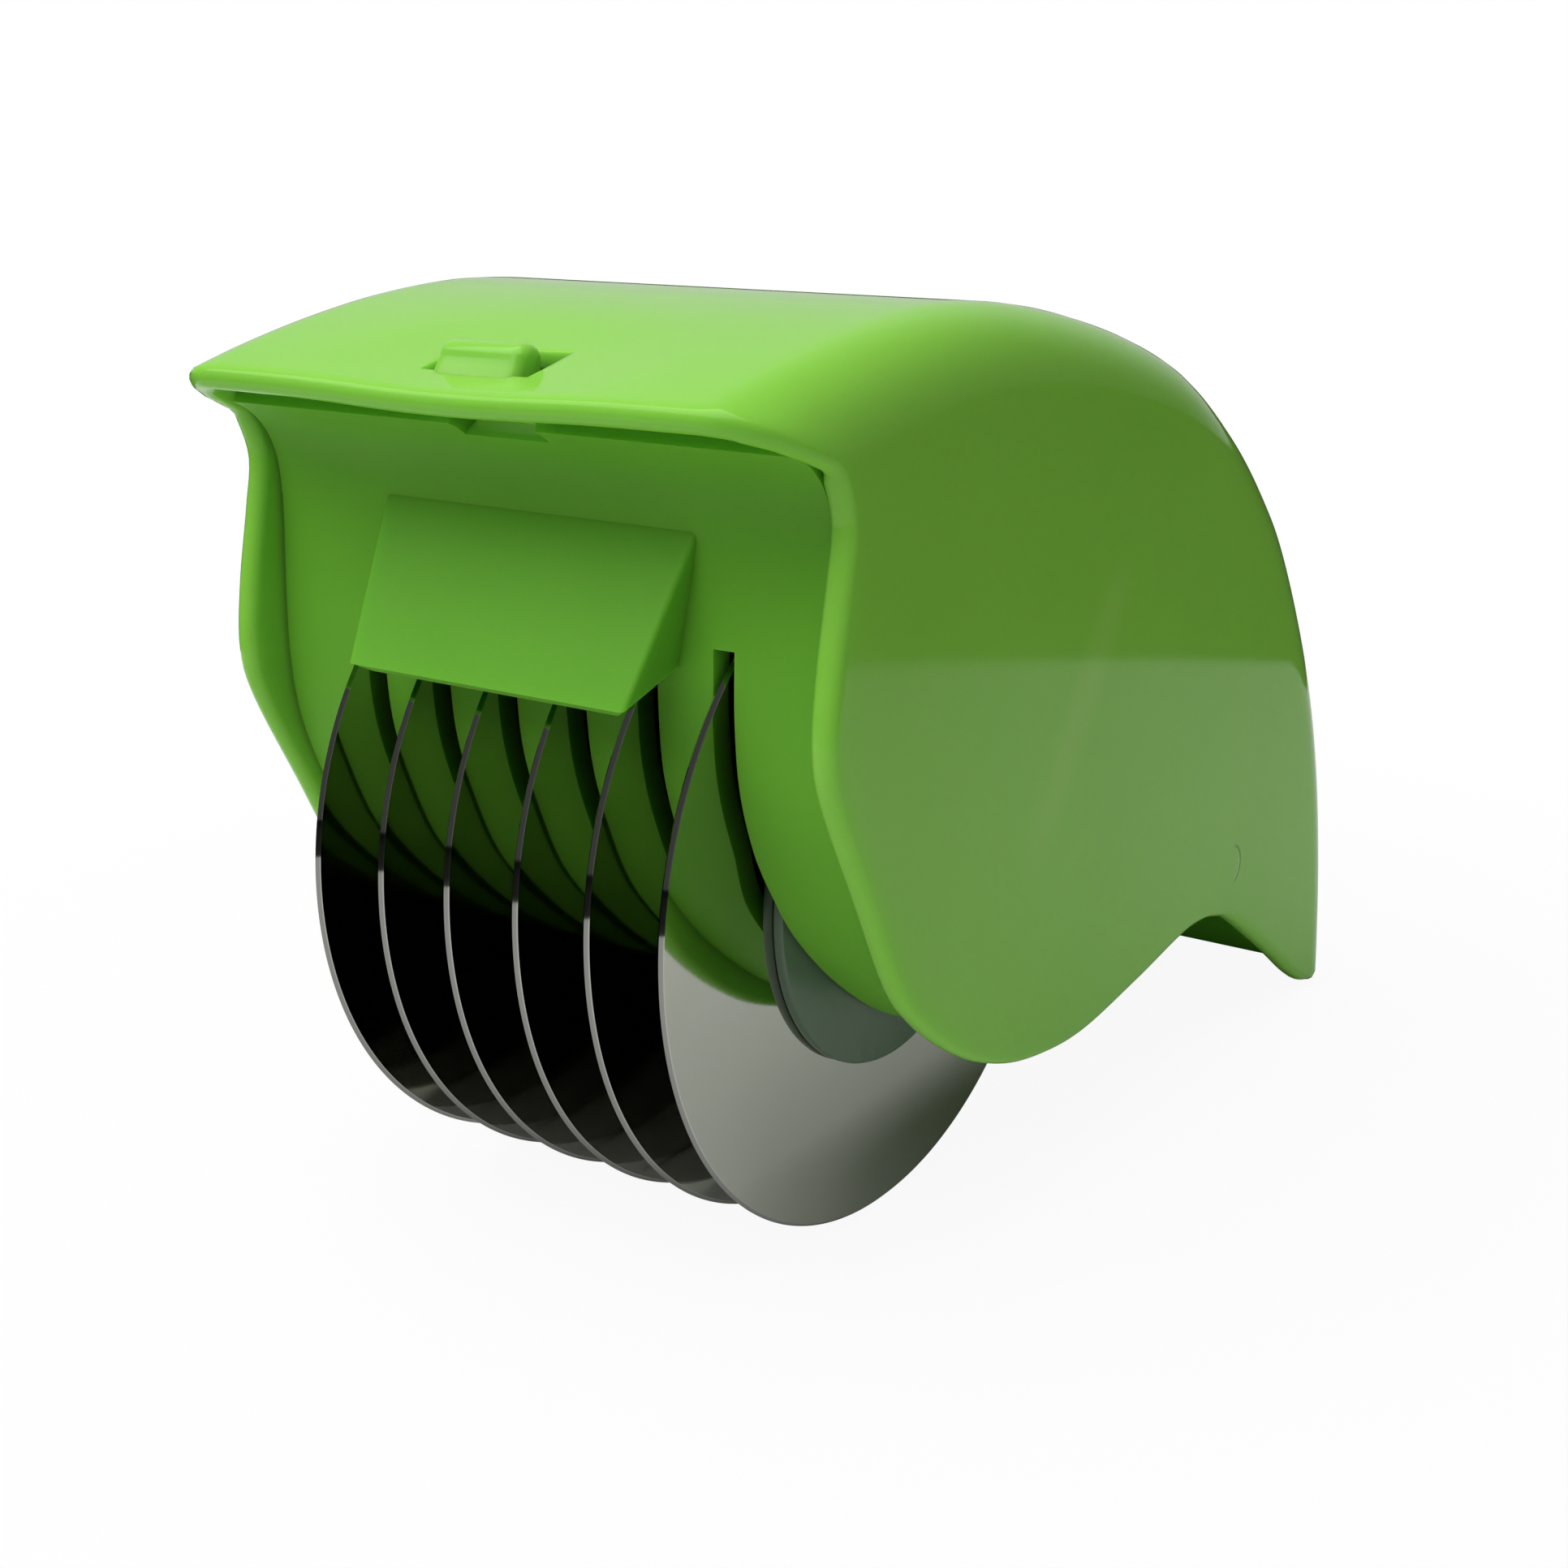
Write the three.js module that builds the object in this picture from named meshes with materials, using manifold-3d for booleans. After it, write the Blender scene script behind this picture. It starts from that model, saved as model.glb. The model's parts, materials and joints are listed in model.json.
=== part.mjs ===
// Rolling herb mincer, in millimetres: +Z up, the axle along X, the blades and the comb at the front (-Y).
// Everything is drawn with the axle above y = 0 and the floor at z = 0, then centred at the end.
import * as THREE from 'three';
import { mergeVertices } from 'three/addons/utils/BufferGeometryUtils.js';
import Module from 'manifold-3d';

// Driving sizes
const BLADE_RADIUS = 30;
const BLADE_COUNT = 6;
const BLADE_PITCH = 7;
const BLADE_THICKNESS = 0.6;
const BEVEL_WIDTH = 0.7;
const EDGE_THICKNESS = 0.16;
const HOUSING_WIDTH = 59.6;
const WALL = 2.1;
const CORNER_RADIUS = 6.5;
const AXLE_RADIUS = 2.5;
const SPACER_RADIUS = 8.2;
const WASHER_RADIUS = 16.1;
const WASHER_THICKNESS = 1;
const CLIP_RADIUS = 4.6;
const CLIP_THICKNESS = 0.8;
const CLIP_MOUTH = 3.4;
const GROOVE_DEPTH = 0.6;
const BOSS_RADIUS = 7;
const BUSH_WALL = 1.6;
const BUSH_FLANGE = 0.8;
const COMB_THICKNESS = 2;
const STUD_RADIUS = 2.2;
const SOCKET_DEPTH = 1.2;
const BARREL_RADIUS = 4;
const FLAP_THICKNESS = 1.5;
const WEB_THICKNESS = 3;
const WINDOW_HALF = 5.2;
const TONGUE_THICKNESS = 1.6;
const CATCH_HEIGHT = 3.4;
const CATCH_PROUD = 1.5;
const BAR_DEPTH = 2;
const BAR_ROUND = 0.6;
const BAR_BACK_DROP = 0.8;
const BAR_CROWN = 0.15;
const BAR_SLOPE = 1;
const TONGUE_SHOULDER = 0.4;
const NOTCH_DEPTH = 5;
const ARCH_RISE = 0.8;
const ARCH_END_RISE = 0.2;
const DISH_DEPTH = 0.55;
const DISH_RADIUS = 150;
const FOOT_WIDTH = 4.2;
const FLAP_TAPER = 1.7;
const FLAP_BED = 1;
const FLAP_CROWN = 0.5;
const WEB_DROP = 0.8;
const CHEEK_THICKNESS = 2;
const AXLE_CHAMFER = 0.5;
const FLANGE_STEP = 0.4;

// Clearances
const BORE_GAP = 0.3;
const RUNNING_GAP = 0.1;
const SEAT_GAP = 0.1;
const END_PLAY = 0.4;
const SLOT_SIDE_GAP = 0.65;
const SLOT_END_GAP = 1.8;
const WASHER_GAP = 0.6;
const COMB_SIDE_GAP = 0.4;
const STUD_GAP = 0.1;
const STUD_END_GAP = 0.3;
const TONGUE_SIDE_GAP = 1.1;
const CATCH_GAP = 0.25;
const ROOT_GAP = 0.05;
const ROOT_SIDE_GAP = 0.05;
const CLIP_SEAT_GAP = 0.15;

// Steps round circles and along curves, and how far cutting shapes reach past what they cut
const SMALL_ROUND = 24;
const MIDDLE_ROUND = 32;
const WASHER_ROUND = 48;
const BLADE_ROUND = 64;
const SLOT_ROUND = 96;
const DISH_ROUND = 128;
const HOOD_STEPS = 34;
const RIM_STEPS = 44;
const COMB_STEPS = 50;
const ARCH_STEPS = 24;
const ROOT_STEPS = 8;
const OUTER_STEPS = 5;
const INNER_STEPS = 4;
const PAST = 1;

// Side view, drawn for a blade of radius 30 with the axle above y = 0. It is scaled with the blade, and leans
// back about the axle until the rear feet stand on the floor.
const SCALE = BLADE_RADIUS / 30;
const AXLE_HEIGHT = BLADE_RADIUS;
const LEAN = THREE.MathUtils.degToRad(1.53);
const AXLE = new THREE.Vector2(0, AXLE_HEIGHT);
const side = (points) => points.map(
  ([y, z]) => new THREE.Vector2(y, z).multiplyScalar(SCALE).rotateAround(AXLE, -LEAN),
);
const HINGE = side([[43.1, 21]])[0];
const HOOD_LINE = side([
  [-33.3, 71.3], [-27.2, 73], [-19.5, 74.7], [-11.1, 76], [-2, 76.5], [7.6, 75.8], [17.7, 74], [27.5, 71.4],
  [35.2, 68.3], [43.3, 63.2], [49.8, 57.8], [55.1, 52.1], [60.7, 43.7], [65.2, 34.9], [68.4, 25.9],
  [70.6, 15.8], [71.7, 6.3], [72, 0],
]);
const RIM_LINE = side([
  [-25, 67], [-23.6, 63.2], [-24.2, 59.1], [-25.4, 53], [-25.9, 47.5], [-24.8, 43.1], [-20.5, 34.8],
  [-16.4, 27], [-13.2, 23.3], [-8.3, 19.5], [-2.8, 16.5], [4.2, 14.4], [12.9, 13.7], [23.6, 15.1],
  [32.7, 16.7], [37.4, 16.9], [40.9, 16.3], [44.8, 14.8], [54.4, 8.7], [60.2, 4.7], [63.7, 2.6],
]);
const FOOT_FRONT = 65.6 * SCALE;
const COMB_LINE = side([
  [-26.6, 68], [-25.2, 67.3], [-23.5, 65.7], [-22.4, 63.4], [-22, 60.5], [-22, 57], [-22.2, 52],
  [-22.2, 47], [-21.6, 42], [-19.9, 37], [-16.9, 31], [-12, 25.6], [-6.3, 21], [-1.2, 18],
  [5, 15.8], [14, 15.1], [24, 16], [33, 17.2], [42.5, 16.4],
]);
const CHEEK_BACK = side([[22, 36], [2, 50], [-12, 54]]);
const FLAP_TOP = side([[-21.9, 61.4]])[0];
const FLAP_TIP = side([[-28.8, 48.9]])[0];
const FLAP_ROOT = side([[-22.2, 51.4]])[0];
const WINDOW_FRONT = side([[-28.4, 72.7]])[0];
const WINDOW_BACK = side([[-22.9, 73]])[0].x;
const TONGUE_ROOT = side([[-25.7, 69.2]])[0];
const DISH_MIDDLE = side([[-25.6, 73.35]])[0];
const DISH_FACING = new THREE.Vector2(-0.22, 0.975).normalize();
const FLAP_FOOT = new THREE.Vector2(0.6, -1);
const WINDOW_BELOW = 6;
const WINDOW_ABOVE = 3;
const ARCH_REACH = 8;
const FRONT_DROP = 18 * SCALE;
const FAR = 40 * SCALE;

// Sizes that follow from those
const STACK_HALF = BLADE_PITCH * (BLADE_COUNT - 1) / 2 + BLADE_THICKNESS / 2 + WASHER_THICKNESS;
const CLIP_OUTER = STACK_HALF + CLIP_THICKNESS;
const INNER_HALF = HOUSING_WIDTH / 2 - WALL;
const BUSH_INNER = CLIP_OUTER + END_PLAY;
const BOSS_INNER = BUSH_INNER + BUSH_FLANGE;
const COMB_HALF = INNER_HALF - COMB_SIDE_GAP;
const AXLE_HALF = COMB_HALF - END_PLAY;
const SLOT_HALF = BLADE_THICKNESS / 2 + SLOT_SIDE_GAP;
const FLAP_HALF = BLADE_PITCH * (BLADE_COUNT - 3) / 2 + SLOT_HALF + FLAP_BED + WEB_THICKNESS;
const bladeX = (i) => (i - (BLADE_COUNT - 1) / 2) * BLADE_PITCH;
const onSide = (s, near, far) => (s < 0 ? [-far, -near] : [near, far]);

const HOOD_GREEN = 0x86c83c;
const COMB_GREEN = 0x74b52f;
const AXLE_STEEL = 0xb4b8bb;
const BLADE_STEEL = 0xc4c6c4;
const CLIP_STEEL = 0x8a8e90;
const SPACER_GREY = 0x6a7a70;
const WASHER_GREY = 0x5f7468;
const BUSH_WHITE = 0xe8e6de;
const wasm = await Module();
wasm.setup();
const group = new THREE.Group();

// Shape helpers
const alongX = new THREE.Matrix4().makeBasis(
  new THREE.Vector3(0, 1, 0), new THREE.Vector3(0, 0, 1), new THREE.Vector3(1, 0, 0),
);

function plain(geometry) {
  const g = geometry.clone();
  g.deleteAttribute('normal');
  g.deleteAttribute('uv');
  const merged = mergeVertices(g, 1e-5);
  const ids = merged.index.array;
  const kept = [];
  for (let i = 0; i < ids.length; i += 3) {
    const [a, b, c] = [ids[i], ids[i + 1], ids[i + 2]];
    if (a !== b && b !== c && c !== a) kept.push(a, b, c);
  }
  merged.setIndex(kept);
  return merged;
}

function solid(geometry) {
  const g = plain(geometry);
  const mesh = (flip) => new wasm.Mesh({
    numProp: 3,
    vertProperties: new Float32Array(g.attributes.position.array),
    triVerts: new Uint32Array(flip ? [...g.index.array].reverse() : g.index.array),
  });
  const body = new wasm.Manifold(mesh(false));
  return body.volume() > 0 ? body : new wasm.Manifold(mesh(true));
}

function slab(points, from, to) {
  const depth = to - from;
  const g = new THREE.ExtrudeGeometry(new THREE.Shape(points), { depth, bevelEnabled: false });
  g.translate(0, 0, from);
  return solid(g.applyMatrix4(alongX));
}

// Points of [x, z], carried along Y
function frontSlab(points, from, to) {
  const shape = new THREE.Shape(points.map(([x, z]) => new THREE.Vector2(x, z)));
  const g = new THREE.ExtrudeGeometry(shape, { depth: to - from, bevelEnabled: false });
  g.rotateX(Math.PI / 2);
  return solid(g.translate(0, to, 0));
}

function roundedSlab(points, depth, bevel, inset, steps) {
  const g = new THREE.ExtrudeGeometry(new THREE.Shape(points), {
    depth,
    bevelEnabled: true,
    bevelThickness: bevel,
    bevelSize: bevel,
    bevelOffset: -inset,
    bevelSegments: steps,
  });
  g.translate(0, 0, -depth / 2);
  return solid(g.applyMatrix4(alongX));
}

// A turned piece about an axis along X at (y, z); the profile is a closed loop of [radius, x]
function turned(profile, segments, y, z) {
  const loop = [...profile, profile[0]].map(([r, x]) => new THREE.Vector2(r, x));
  const g = new THREE.LatheGeometry(loop, segments);
  g.rotateZ(-Math.PI / 2);
  g.translate(0, y, z);
  return solid(g);
}

const disc = (radius, from, to, segments, y, z) => turned(
  [[0, from], [radius, from], [radius, to], [0, to]], segments, y, z,
);
const ring = (inner, outer, from, to, segments, y, z) => turned(
  [[inner, from], [outer, from], [outer, to], [inner, to]], segments, y, z,
);

function block(x0, x1, y0, y1, z0, z1) {
  const g = new THREE.BoxGeometry(x1 - x0, y1 - y0, z1 - z0);
  g.translate((x0 + x1) / 2, (y0 + y1) / 2, (z0 + z1) / 2);
  return solid(g);
}

function smooth(points, count) {
  return new THREE.SplineCurve(points).getSpacedPoints(count);
}

function offset(points, distance) {
  return points.map((p, i) => {
    const a = points[Math.max(i - 1, 0)];
    const b = points[Math.min(i + 1, points.length - 1)];
    const run = b.clone().sub(a).normalize();
    return new THREE.Vector2(p.x - run.y * distance, p.y + run.x * distance);
  });
}

function add(name, body, colour, roughness, metalness) {
  const mesh = body.getMesh();
  const g = new THREE.BufferGeometry();
  g.setAttribute('position', new THREE.BufferAttribute(new Float32Array(mesh.vertProperties), 3));
  g.setIndex([...mesh.triVerts]);
  g.computeVertexNormals();
  const material = new THREE.MeshStandardMaterial({ color: colour, roughness, metalness });
  const node = new THREE.Mesh(g, material);
  node.name = name;
  group.add(node);
  return node;
}

// Housing: a hollow hood with rounded corners, cut to the side view's rim
const hoodTop = smooth(HOOD_LINE, HOOD_STEPS);
const lip = hoodTop[0];
const foot = hoodTop[hoodTop.length - 1];
const hood = [
  ...hoodTop, new THREE.Vector2(foot.x + PAST, -FAR), new THREE.Vector2(lip.x - FAR, -FAR),
  new THREE.Vector2(lip.x - FAR, lip.y - FRONT_DROP),
];
const straight = HOUSING_WIDTH - 2 * CORNER_RADIUS;
const outer = roundedSlab(hood, straight, CORNER_RADIUS, CORNER_RADIUS, OUTER_STEPS);
const inner = roundedSlab(hood, straight, CORNER_RADIUS - WALL, CORNER_RADIUS, INNER_STEPS);
const keep = [
  lip, ...smooth(RIM_LINE, RIM_STEPS), new THREE.Vector2(FOOT_FRONT, 0), new THREE.Vector2(foot.x + FAR, 0),
  new THREE.Vector2(foot.x + FAR, lip.y + FAR), new THREE.Vector2(lip.x, lip.y + FAR),
];
let housing = outer.subtract(inner).intersect(slab(keep, -HOUSING_WIDTH, HOUSING_WIDTH));

// A shallow dish for the fingertip surrounds the catch's window
const dishCentre = DISH_FACING.clone().multiplyScalar(DISH_RADIUS - DISH_DEPTH).add(DISH_MIDDLE);
const dish = new THREE.SphereGeometry(DISH_RADIUS, DISH_ROUND, DISH_ROUND * 3 / 4);
housing = housing.subtract(solid(dish.translate(0, dishCentre.x, dishCentre.y)));

// The window's front wall lies on the catch's way out, so that the comb can swing down past it
const catchReach = WINDOW_FRONT.clone().sub(HINGE).length();
const onCatchArc = (z, gap) => HINGE.x - Math.sqrt((catchReach - gap) ** 2 - (z - HINGE.y) ** 2);
const windowLow = WINDOW_FRONT.y - WINDOW_BELOW;
const windowHigh = WINDOW_FRONT.y + WINDOW_ABOVE;
const windowShape = [
  new THREE.Vector2(WINDOW_BACK, windowLow), new THREE.Vector2(WINDOW_BACK, windowHigh),
  new THREE.Vector2(onCatchArc(windowHigh, 0), windowHigh), WINDOW_FRONT,
  new THREE.Vector2(onCatchArc(windowLow, 0), windowLow),
];
housing = housing.subtract(slab(windowShape, -WINDOW_HALF, WINDOW_HALF));
const archHalf = HOUSING_WIDTH / 2 - FOOT_WIDTH;
const arch = [[-archHalf, -PAST]];
for (let i = 0; i <= ARCH_STEPS; i += 1) {
  const share = 2 * i / ARCH_STEPS - 1;
  arch.push([archHalf * share, ARCH_RISE - (ARCH_RISE - ARCH_END_RISE) * share ** 2]);
}
arch.push([archHalf, -PAST]);
housing = housing.subtract(frontSlab(arch, FOOT_FRONT - ARCH_REACH, foot.x + ARCH_REACH));
for (const s of [-1, 1]) {
  const [s0, s1] = onSide(s, INNER_HALF - PAST, INNER_HALF + SOCKET_DEPTH);
  housing = housing.subtract(disc(STUD_RADIUS + STUD_GAP, s0, s1, SMALL_ROUND, HINGE.x, HINGE.y));
}
add('housing', housing, HOOD_GREEN, 0.3, 0);

// Comb: a curved plate with a slot for each blade, the finger flap, cheeks with bosses that carry the axle,
// and the hinge barrel with its studs
const combOuter = smooth(COMB_LINE, COMB_STEPS);
const combInner = offset(combOuter, COMB_THICKNESS).reverse();
const roomRound = CORNER_RADIUS - WALL - COMB_SIDE_GAP;
const room = roundedSlab(hood, straight, roomRound, CORNER_RADIUS, INNER_STEPS);
let comb = slab([...combOuter, ...combInner], -COMB_HALF, COMB_HALF).intersect(room);
const across = FLAP_TIP.clone().sub(FLAP_TOP).normalize();
const inward = new THREE.Vector2(-across.y, across.x).multiplyScalar(FLAP_THICKNESS);
const halfIn = inward.clone().multiplyScalar(0.5);
const flapPlate = [
  new THREE.Vector2(FLAP_TOP.x + FLAP_BED, FLAP_TOP.y + FLAP_CROWN), FLAP_TOP, FLAP_TIP,
  FLAP_TIP.clone().add(inward), FLAP_TOP.clone().add(inward).add(FLAP_FOOT),
];
const web = [
  new THREE.Vector2(FLAP_TOP.x + FLAP_BED, FLAP_TOP.y - WEB_DROP), FLAP_TOP.clone().add(halfIn),
  FLAP_TIP.clone().add(halfIn), new THREE.Vector2(FLAP_ROOT.x + FLAP_BED, FLAP_ROOT.y),
];
let flap = slab(flapPlate, -FLAP_HALF, FLAP_HALF);
flap = flap.add(slab(web, FLAP_HALF - WEB_THICKNESS, FLAP_HALF));
flap = flap.add(slab(web, -FLAP_HALF, WEB_THICKNESS - FLAP_HALF));
const flapLow = FLAP_HALF - FLAP_TAPER;
const flapFront = [
  [-FLAP_HALF, FLAP_TOP.y + PAST], [FLAP_HALF, FLAP_TOP.y + PAST],
  [flapLow, FLAP_TIP.y - PAST], [-flapLow, FLAP_TIP.y - PAST],
];
comb = comb.add(flap.intersect(frontSlab(flapFront, -FAR, FAR)));
comb = comb.add(disc(BARREL_RADIUS, -COMB_HALF, COMB_HALF, SMALL_ROUND, HINGE.x, HINGE.y));
const cheekFront = offset(combOuter, COMB_THICKNESS / 2).filter((p) => p.y < CHEEK_BACK[2].y);
const cheek = [...cheekFront, HINGE, ...CHEEK_BACK];
const bushBore = AXLE_RADIUS + RUNNING_GAP + BUSH_WALL;
for (const s of [-1, 1]) {
  const [c0, c1] = onSide(s, COMB_HALF - CHEEK_THICKNESS, COMB_HALF);
  comb = comb.add(slab(cheek, c0, c1));
  const [b0, b1] = onSide(s, BOSS_INNER, COMB_HALF - CHEEK_THICKNESS / 2);
  comb = comb.add(disc(BOSS_RADIUS, b0, b1, MIDDLE_ROUND, 0, AXLE_HEIGHT));
  const [h0, h1] = onSide(s, BOSS_INNER - PAST, COMB_HALF + PAST);
  comb = comb.subtract(disc(bushBore + SEAT_GAP, h0, h1, MIDDLE_ROUND, 0, AXLE_HEIGHT));
  const [s0, s1] = onSide(s, COMB_HALF - PAST, INNER_HALF + SOCKET_DEPTH - STUD_END_GAP);
  comb = comb.add(disc(STUD_RADIUS, s0, s1, SMALL_ROUND, HINGE.x, HINGE.y));
  const [w0, w1] = onSide(s, STACK_HALF - WASHER_THICKNESS, STACK_HALF + WASHER_GAP);
  comb = comb.subtract(disc(WASHER_RADIUS + WASHER_GAP, w0, w1, BLADE_ROUND, 0, AXLE_HEIGHT));
}
for (let i = 0; i < BLADE_COUNT; i += 1) {
  const [x0, x1] = [bladeX(i) - SLOT_HALF, bladeX(i) + SLOT_HALF];
  comb = comb.subtract(disc(BLADE_RADIUS + SLOT_END_GAP, x0, x1, SLOT_ROUND, 0, AXLE_HEIGHT));
}
const latchHalf = WINDOW_HALF - TONGUE_SIDE_GAP;
const notchHalf = latchHalf + ROOT_SIDE_GAP;
const notchBack = TONGUE_ROOT.x + TONGUE_THICKNESS / 2 + ROOT_GAP;
const notchLow = TONGUE_ROOT.y - NOTCH_DEPTH;
comb = comb.subtract(block(-notchHalf, notchHalf, -FAR, notchBack, notchLow, notchLow + FAR));
add('comb', comb, COMB_GREEN, 0.3, 0);

// Latch: the tongue stands on a rounded root in the comb's notch, and its catch bar stands in the window
const catchTop = WINDOW_FRONT.y + CATCH_PROUD;
const catchLow = catchTop - CATCH_HEIGHT;
const catchFront = (z) => onCatchArc(z, CATCH_GAP);
const half = TONGUE_THICKNESS / 2;
const rootArc = [];
for (let i = 0; i <= ROOT_STEPS; i += 1) {
  const a = Math.PI * (1 + i / ROOT_STEPS);
  const spoke = new THREE.Vector2(Math.cos(a), Math.sin(a)).multiplyScalar(half);
  rootArc.push(spoke.add(TONGUE_ROOT));
}
const barBack = catchFront(catchTop) + BAR_DEPTH;
const latchShape = [
  ...rootArc,
  new THREE.Vector2(TONGUE_ROOT.x + half / 2, TONGUE_ROOT.y + half),
  new THREE.Vector2(TONGUE_ROOT.x + half / 2, catchLow),
  new THREE.Vector2(barBack, catchLow + BAR_SLOPE),
  new THREE.Vector2(barBack, catchTop - BAR_BACK_DROP),
  new THREE.Vector2(barBack - BAR_ROUND, catchTop - BAR_CROWN),
  new THREE.Vector2(catchFront(catchTop) + BAR_ROUND, catchTop),
  new THREE.Vector2(catchFront(catchTop - BAR_ROUND), catchTop - BAR_ROUND),
  new THREE.Vector2(catchFront(catchLow), catchLow),
  new THREE.Vector2(TONGUE_ROOT.x - half, catchLow - TONGUE_SHOULDER),
];
add('latch', slab(latchShape, -latchHalf, latchHalf), COMB_GREEN, 0.3, 0);

// Blade stack: axle, six blades, five spacers, end washers and clips
const groove = AXLE_RADIUS - GROOVE_DEPTH;
const axleEnd = AXLE_HALF - AXLE_CHAMFER;
const axleTip = AXLE_RADIUS - AXLE_CHAMFER;
add('axle', turned([
  [0, -AXLE_HALF], [axleTip, -AXLE_HALF], [AXLE_RADIUS, -axleEnd], [AXLE_RADIUS, -CLIP_OUTER],
  [groove, -CLIP_OUTER], [groove, -STACK_HALF], [AXLE_RADIUS, -STACK_HALF], [AXLE_RADIUS, STACK_HALF],
  [groove, STACK_HALF], [groove, CLIP_OUTER], [AXLE_RADIUS, CLIP_OUTER], [AXLE_RADIUS, axleEnd],
  [axleTip, AXLE_HALF], [0, AXLE_HALF],
], SMALL_ROUND, 0, AXLE_HEIGHT), AXLE_STEEL, 0.3, 1);
const bore = AXLE_RADIUS + BORE_GAP;
for (let i = 0; i < BLADE_COUNT; i += 1) {
  const [x, t, e] = [bladeX(i), BLADE_THICKNESS / 2, EDGE_THICKNESS / 2];
  add(`blade_${i + 1}`, turned([
    [bore, x - t], [BLADE_RADIUS - BEVEL_WIDTH, x - t], [BLADE_RADIUS, x - e], [BLADE_RADIUS, x + e],
    [BLADE_RADIUS - BEVEL_WIDTH, x + t], [bore, x + t],
  ], BLADE_ROUND, 0, AXLE_HEIGHT), BLADE_STEEL, 0.25, 1);
}
for (let i = 0; i < BLADE_COUNT - 1; i += 1) {
  const from = bladeX(i) + BLADE_THICKNESS / 2;
  const to = bladeX(i + 1) - BLADE_THICKNESS / 2;
  const spacer = ring(bore, SPACER_RADIUS, from, to, MIDDLE_ROUND, 0, AXLE_HEIGHT);
  add(`spacer_${i + 1}`, spacer, SPACER_GREY, 0.5, 0);
}
for (const [name, s] of [['left', -1], ['right', 1]]) {
  const [w0, w1] = onSide(s, STACK_HALF - WASHER_THICKNESS, STACK_HALF);
  const washer = ring(bore, WASHER_RADIUS, w0, w1, WASHER_ROUND, 0, AXLE_HEIGHT);
  add(`end_washer_${name}`, washer, WASHER_GREY, 0.4, 0);
  const [c0, c1] = onSide(s, STACK_HALF, CLIP_OUTER);
  const clip = ring(groove + CLIP_SEAT_GAP, CLIP_RADIUS, c0, c1, SMALL_ROUND, 0, AXLE_HEIGHT);
  const mouthTop = AXLE_HEIGHT + CLIP_RADIUS + PAST;
  const mouthHalf = CLIP_MOUTH / 2;
  const mouth = block(c0 - PAST, c1 + PAST, -mouthHalf, mouthHalf, AXLE_HEIGHT, mouthTop);
  add(`clip_${name}`, clip.subtract(mouth), CLIP_STEEL, 0.35, 1);
  const run = AXLE_RADIUS + RUNNING_GAP;
  const flange = BOSS_RADIUS - FLANGE_STEP;
  const bushEnd = COMB_HALF - SEAT_GAP;
  add(`bush_${name}`, turned([
    [run, s * BUSH_INNER], [flange, s * BUSH_INNER], [flange, s * BOSS_INNER],
    [bushBore, s * BOSS_INNER], [bushBore, s * bushEnd], [run, s * bushEnd],
  ], MIDDLE_ROUND, 0, AXLE_HEIGHT), BUSH_WHITE, 0.5, 0);
}

// Centre the whole on the floor
const box = new THREE.Box3().setFromObject(group);
const shift = -(box.min.y + box.max.y) / 2;
group.traverse((node) => {
  if (node.isMesh) node.geometry.translate(0, shift, -box.min.z);
});

export default group;
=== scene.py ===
# %% [markdown]
# A rolling herb mincer: six round steel blades on one axle, under a lime-green plastic hood.
# A slotted comb closes the front and carries the axle. It swings down on a hinge at the rear, and a spring
# catch holds it shut.
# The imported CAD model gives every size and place. This script makes the same pieces smooth and gives them
# their finishes, then sets up the light and the camera as in the photograph.

# %% Load the frame
import json
import math

import bmesh
import bpy
import numpy as np
from mathutils import Matrix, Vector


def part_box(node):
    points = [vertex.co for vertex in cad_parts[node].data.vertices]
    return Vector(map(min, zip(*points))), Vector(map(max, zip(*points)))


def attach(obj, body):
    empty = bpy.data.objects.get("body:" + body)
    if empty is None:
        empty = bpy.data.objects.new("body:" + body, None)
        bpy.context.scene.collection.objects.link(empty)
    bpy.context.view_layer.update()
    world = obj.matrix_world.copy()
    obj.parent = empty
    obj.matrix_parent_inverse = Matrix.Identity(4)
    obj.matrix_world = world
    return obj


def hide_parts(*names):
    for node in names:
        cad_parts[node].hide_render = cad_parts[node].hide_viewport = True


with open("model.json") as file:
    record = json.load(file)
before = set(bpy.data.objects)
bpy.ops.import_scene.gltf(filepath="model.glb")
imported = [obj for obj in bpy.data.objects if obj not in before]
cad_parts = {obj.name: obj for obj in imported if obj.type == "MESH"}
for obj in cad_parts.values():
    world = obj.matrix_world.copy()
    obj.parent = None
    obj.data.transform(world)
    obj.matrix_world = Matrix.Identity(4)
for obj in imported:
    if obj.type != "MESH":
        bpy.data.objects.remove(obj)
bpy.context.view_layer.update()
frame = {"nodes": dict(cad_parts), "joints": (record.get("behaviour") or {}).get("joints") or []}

# %% [markdown]
# The side view of the mincer is drawn in millimetres, with the axle above zero, and leans back about it
# until the rear feet stand on the floor. The frame keeps its origin under the middle of the object, so the
# axle's own box says how far to shift.

# %% Places from the frame
MM = 0.001
SPAN_STEPS = 40
AXLE_LOW, AXLE_HIGH = (np.array(corner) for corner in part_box("axle"))
AXLE_Y = float(AXLE_LOW[1] + AXLE_HIGH[1]) / 2
AXLE_Z = float(AXLE_LOW[2] + AXLE_HIGH[2]) / 2
HALF_WIDTH = float(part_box("housing")[1][0])
JOINTS = {joint["name"]: joint for joint in frame["joints"]}
HINGE = np.array(JOINTS["comb_swing"]["pos_m"])[1:]
AXLE = np.array([AXLE_Y, AXLE_Z])
LEAN = math.radians(1.53)
LEAN_TURN = np.array([[math.cos(LEAN), -math.sin(LEAN)], [math.sin(LEAN), math.cos(LEAN)]])


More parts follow.
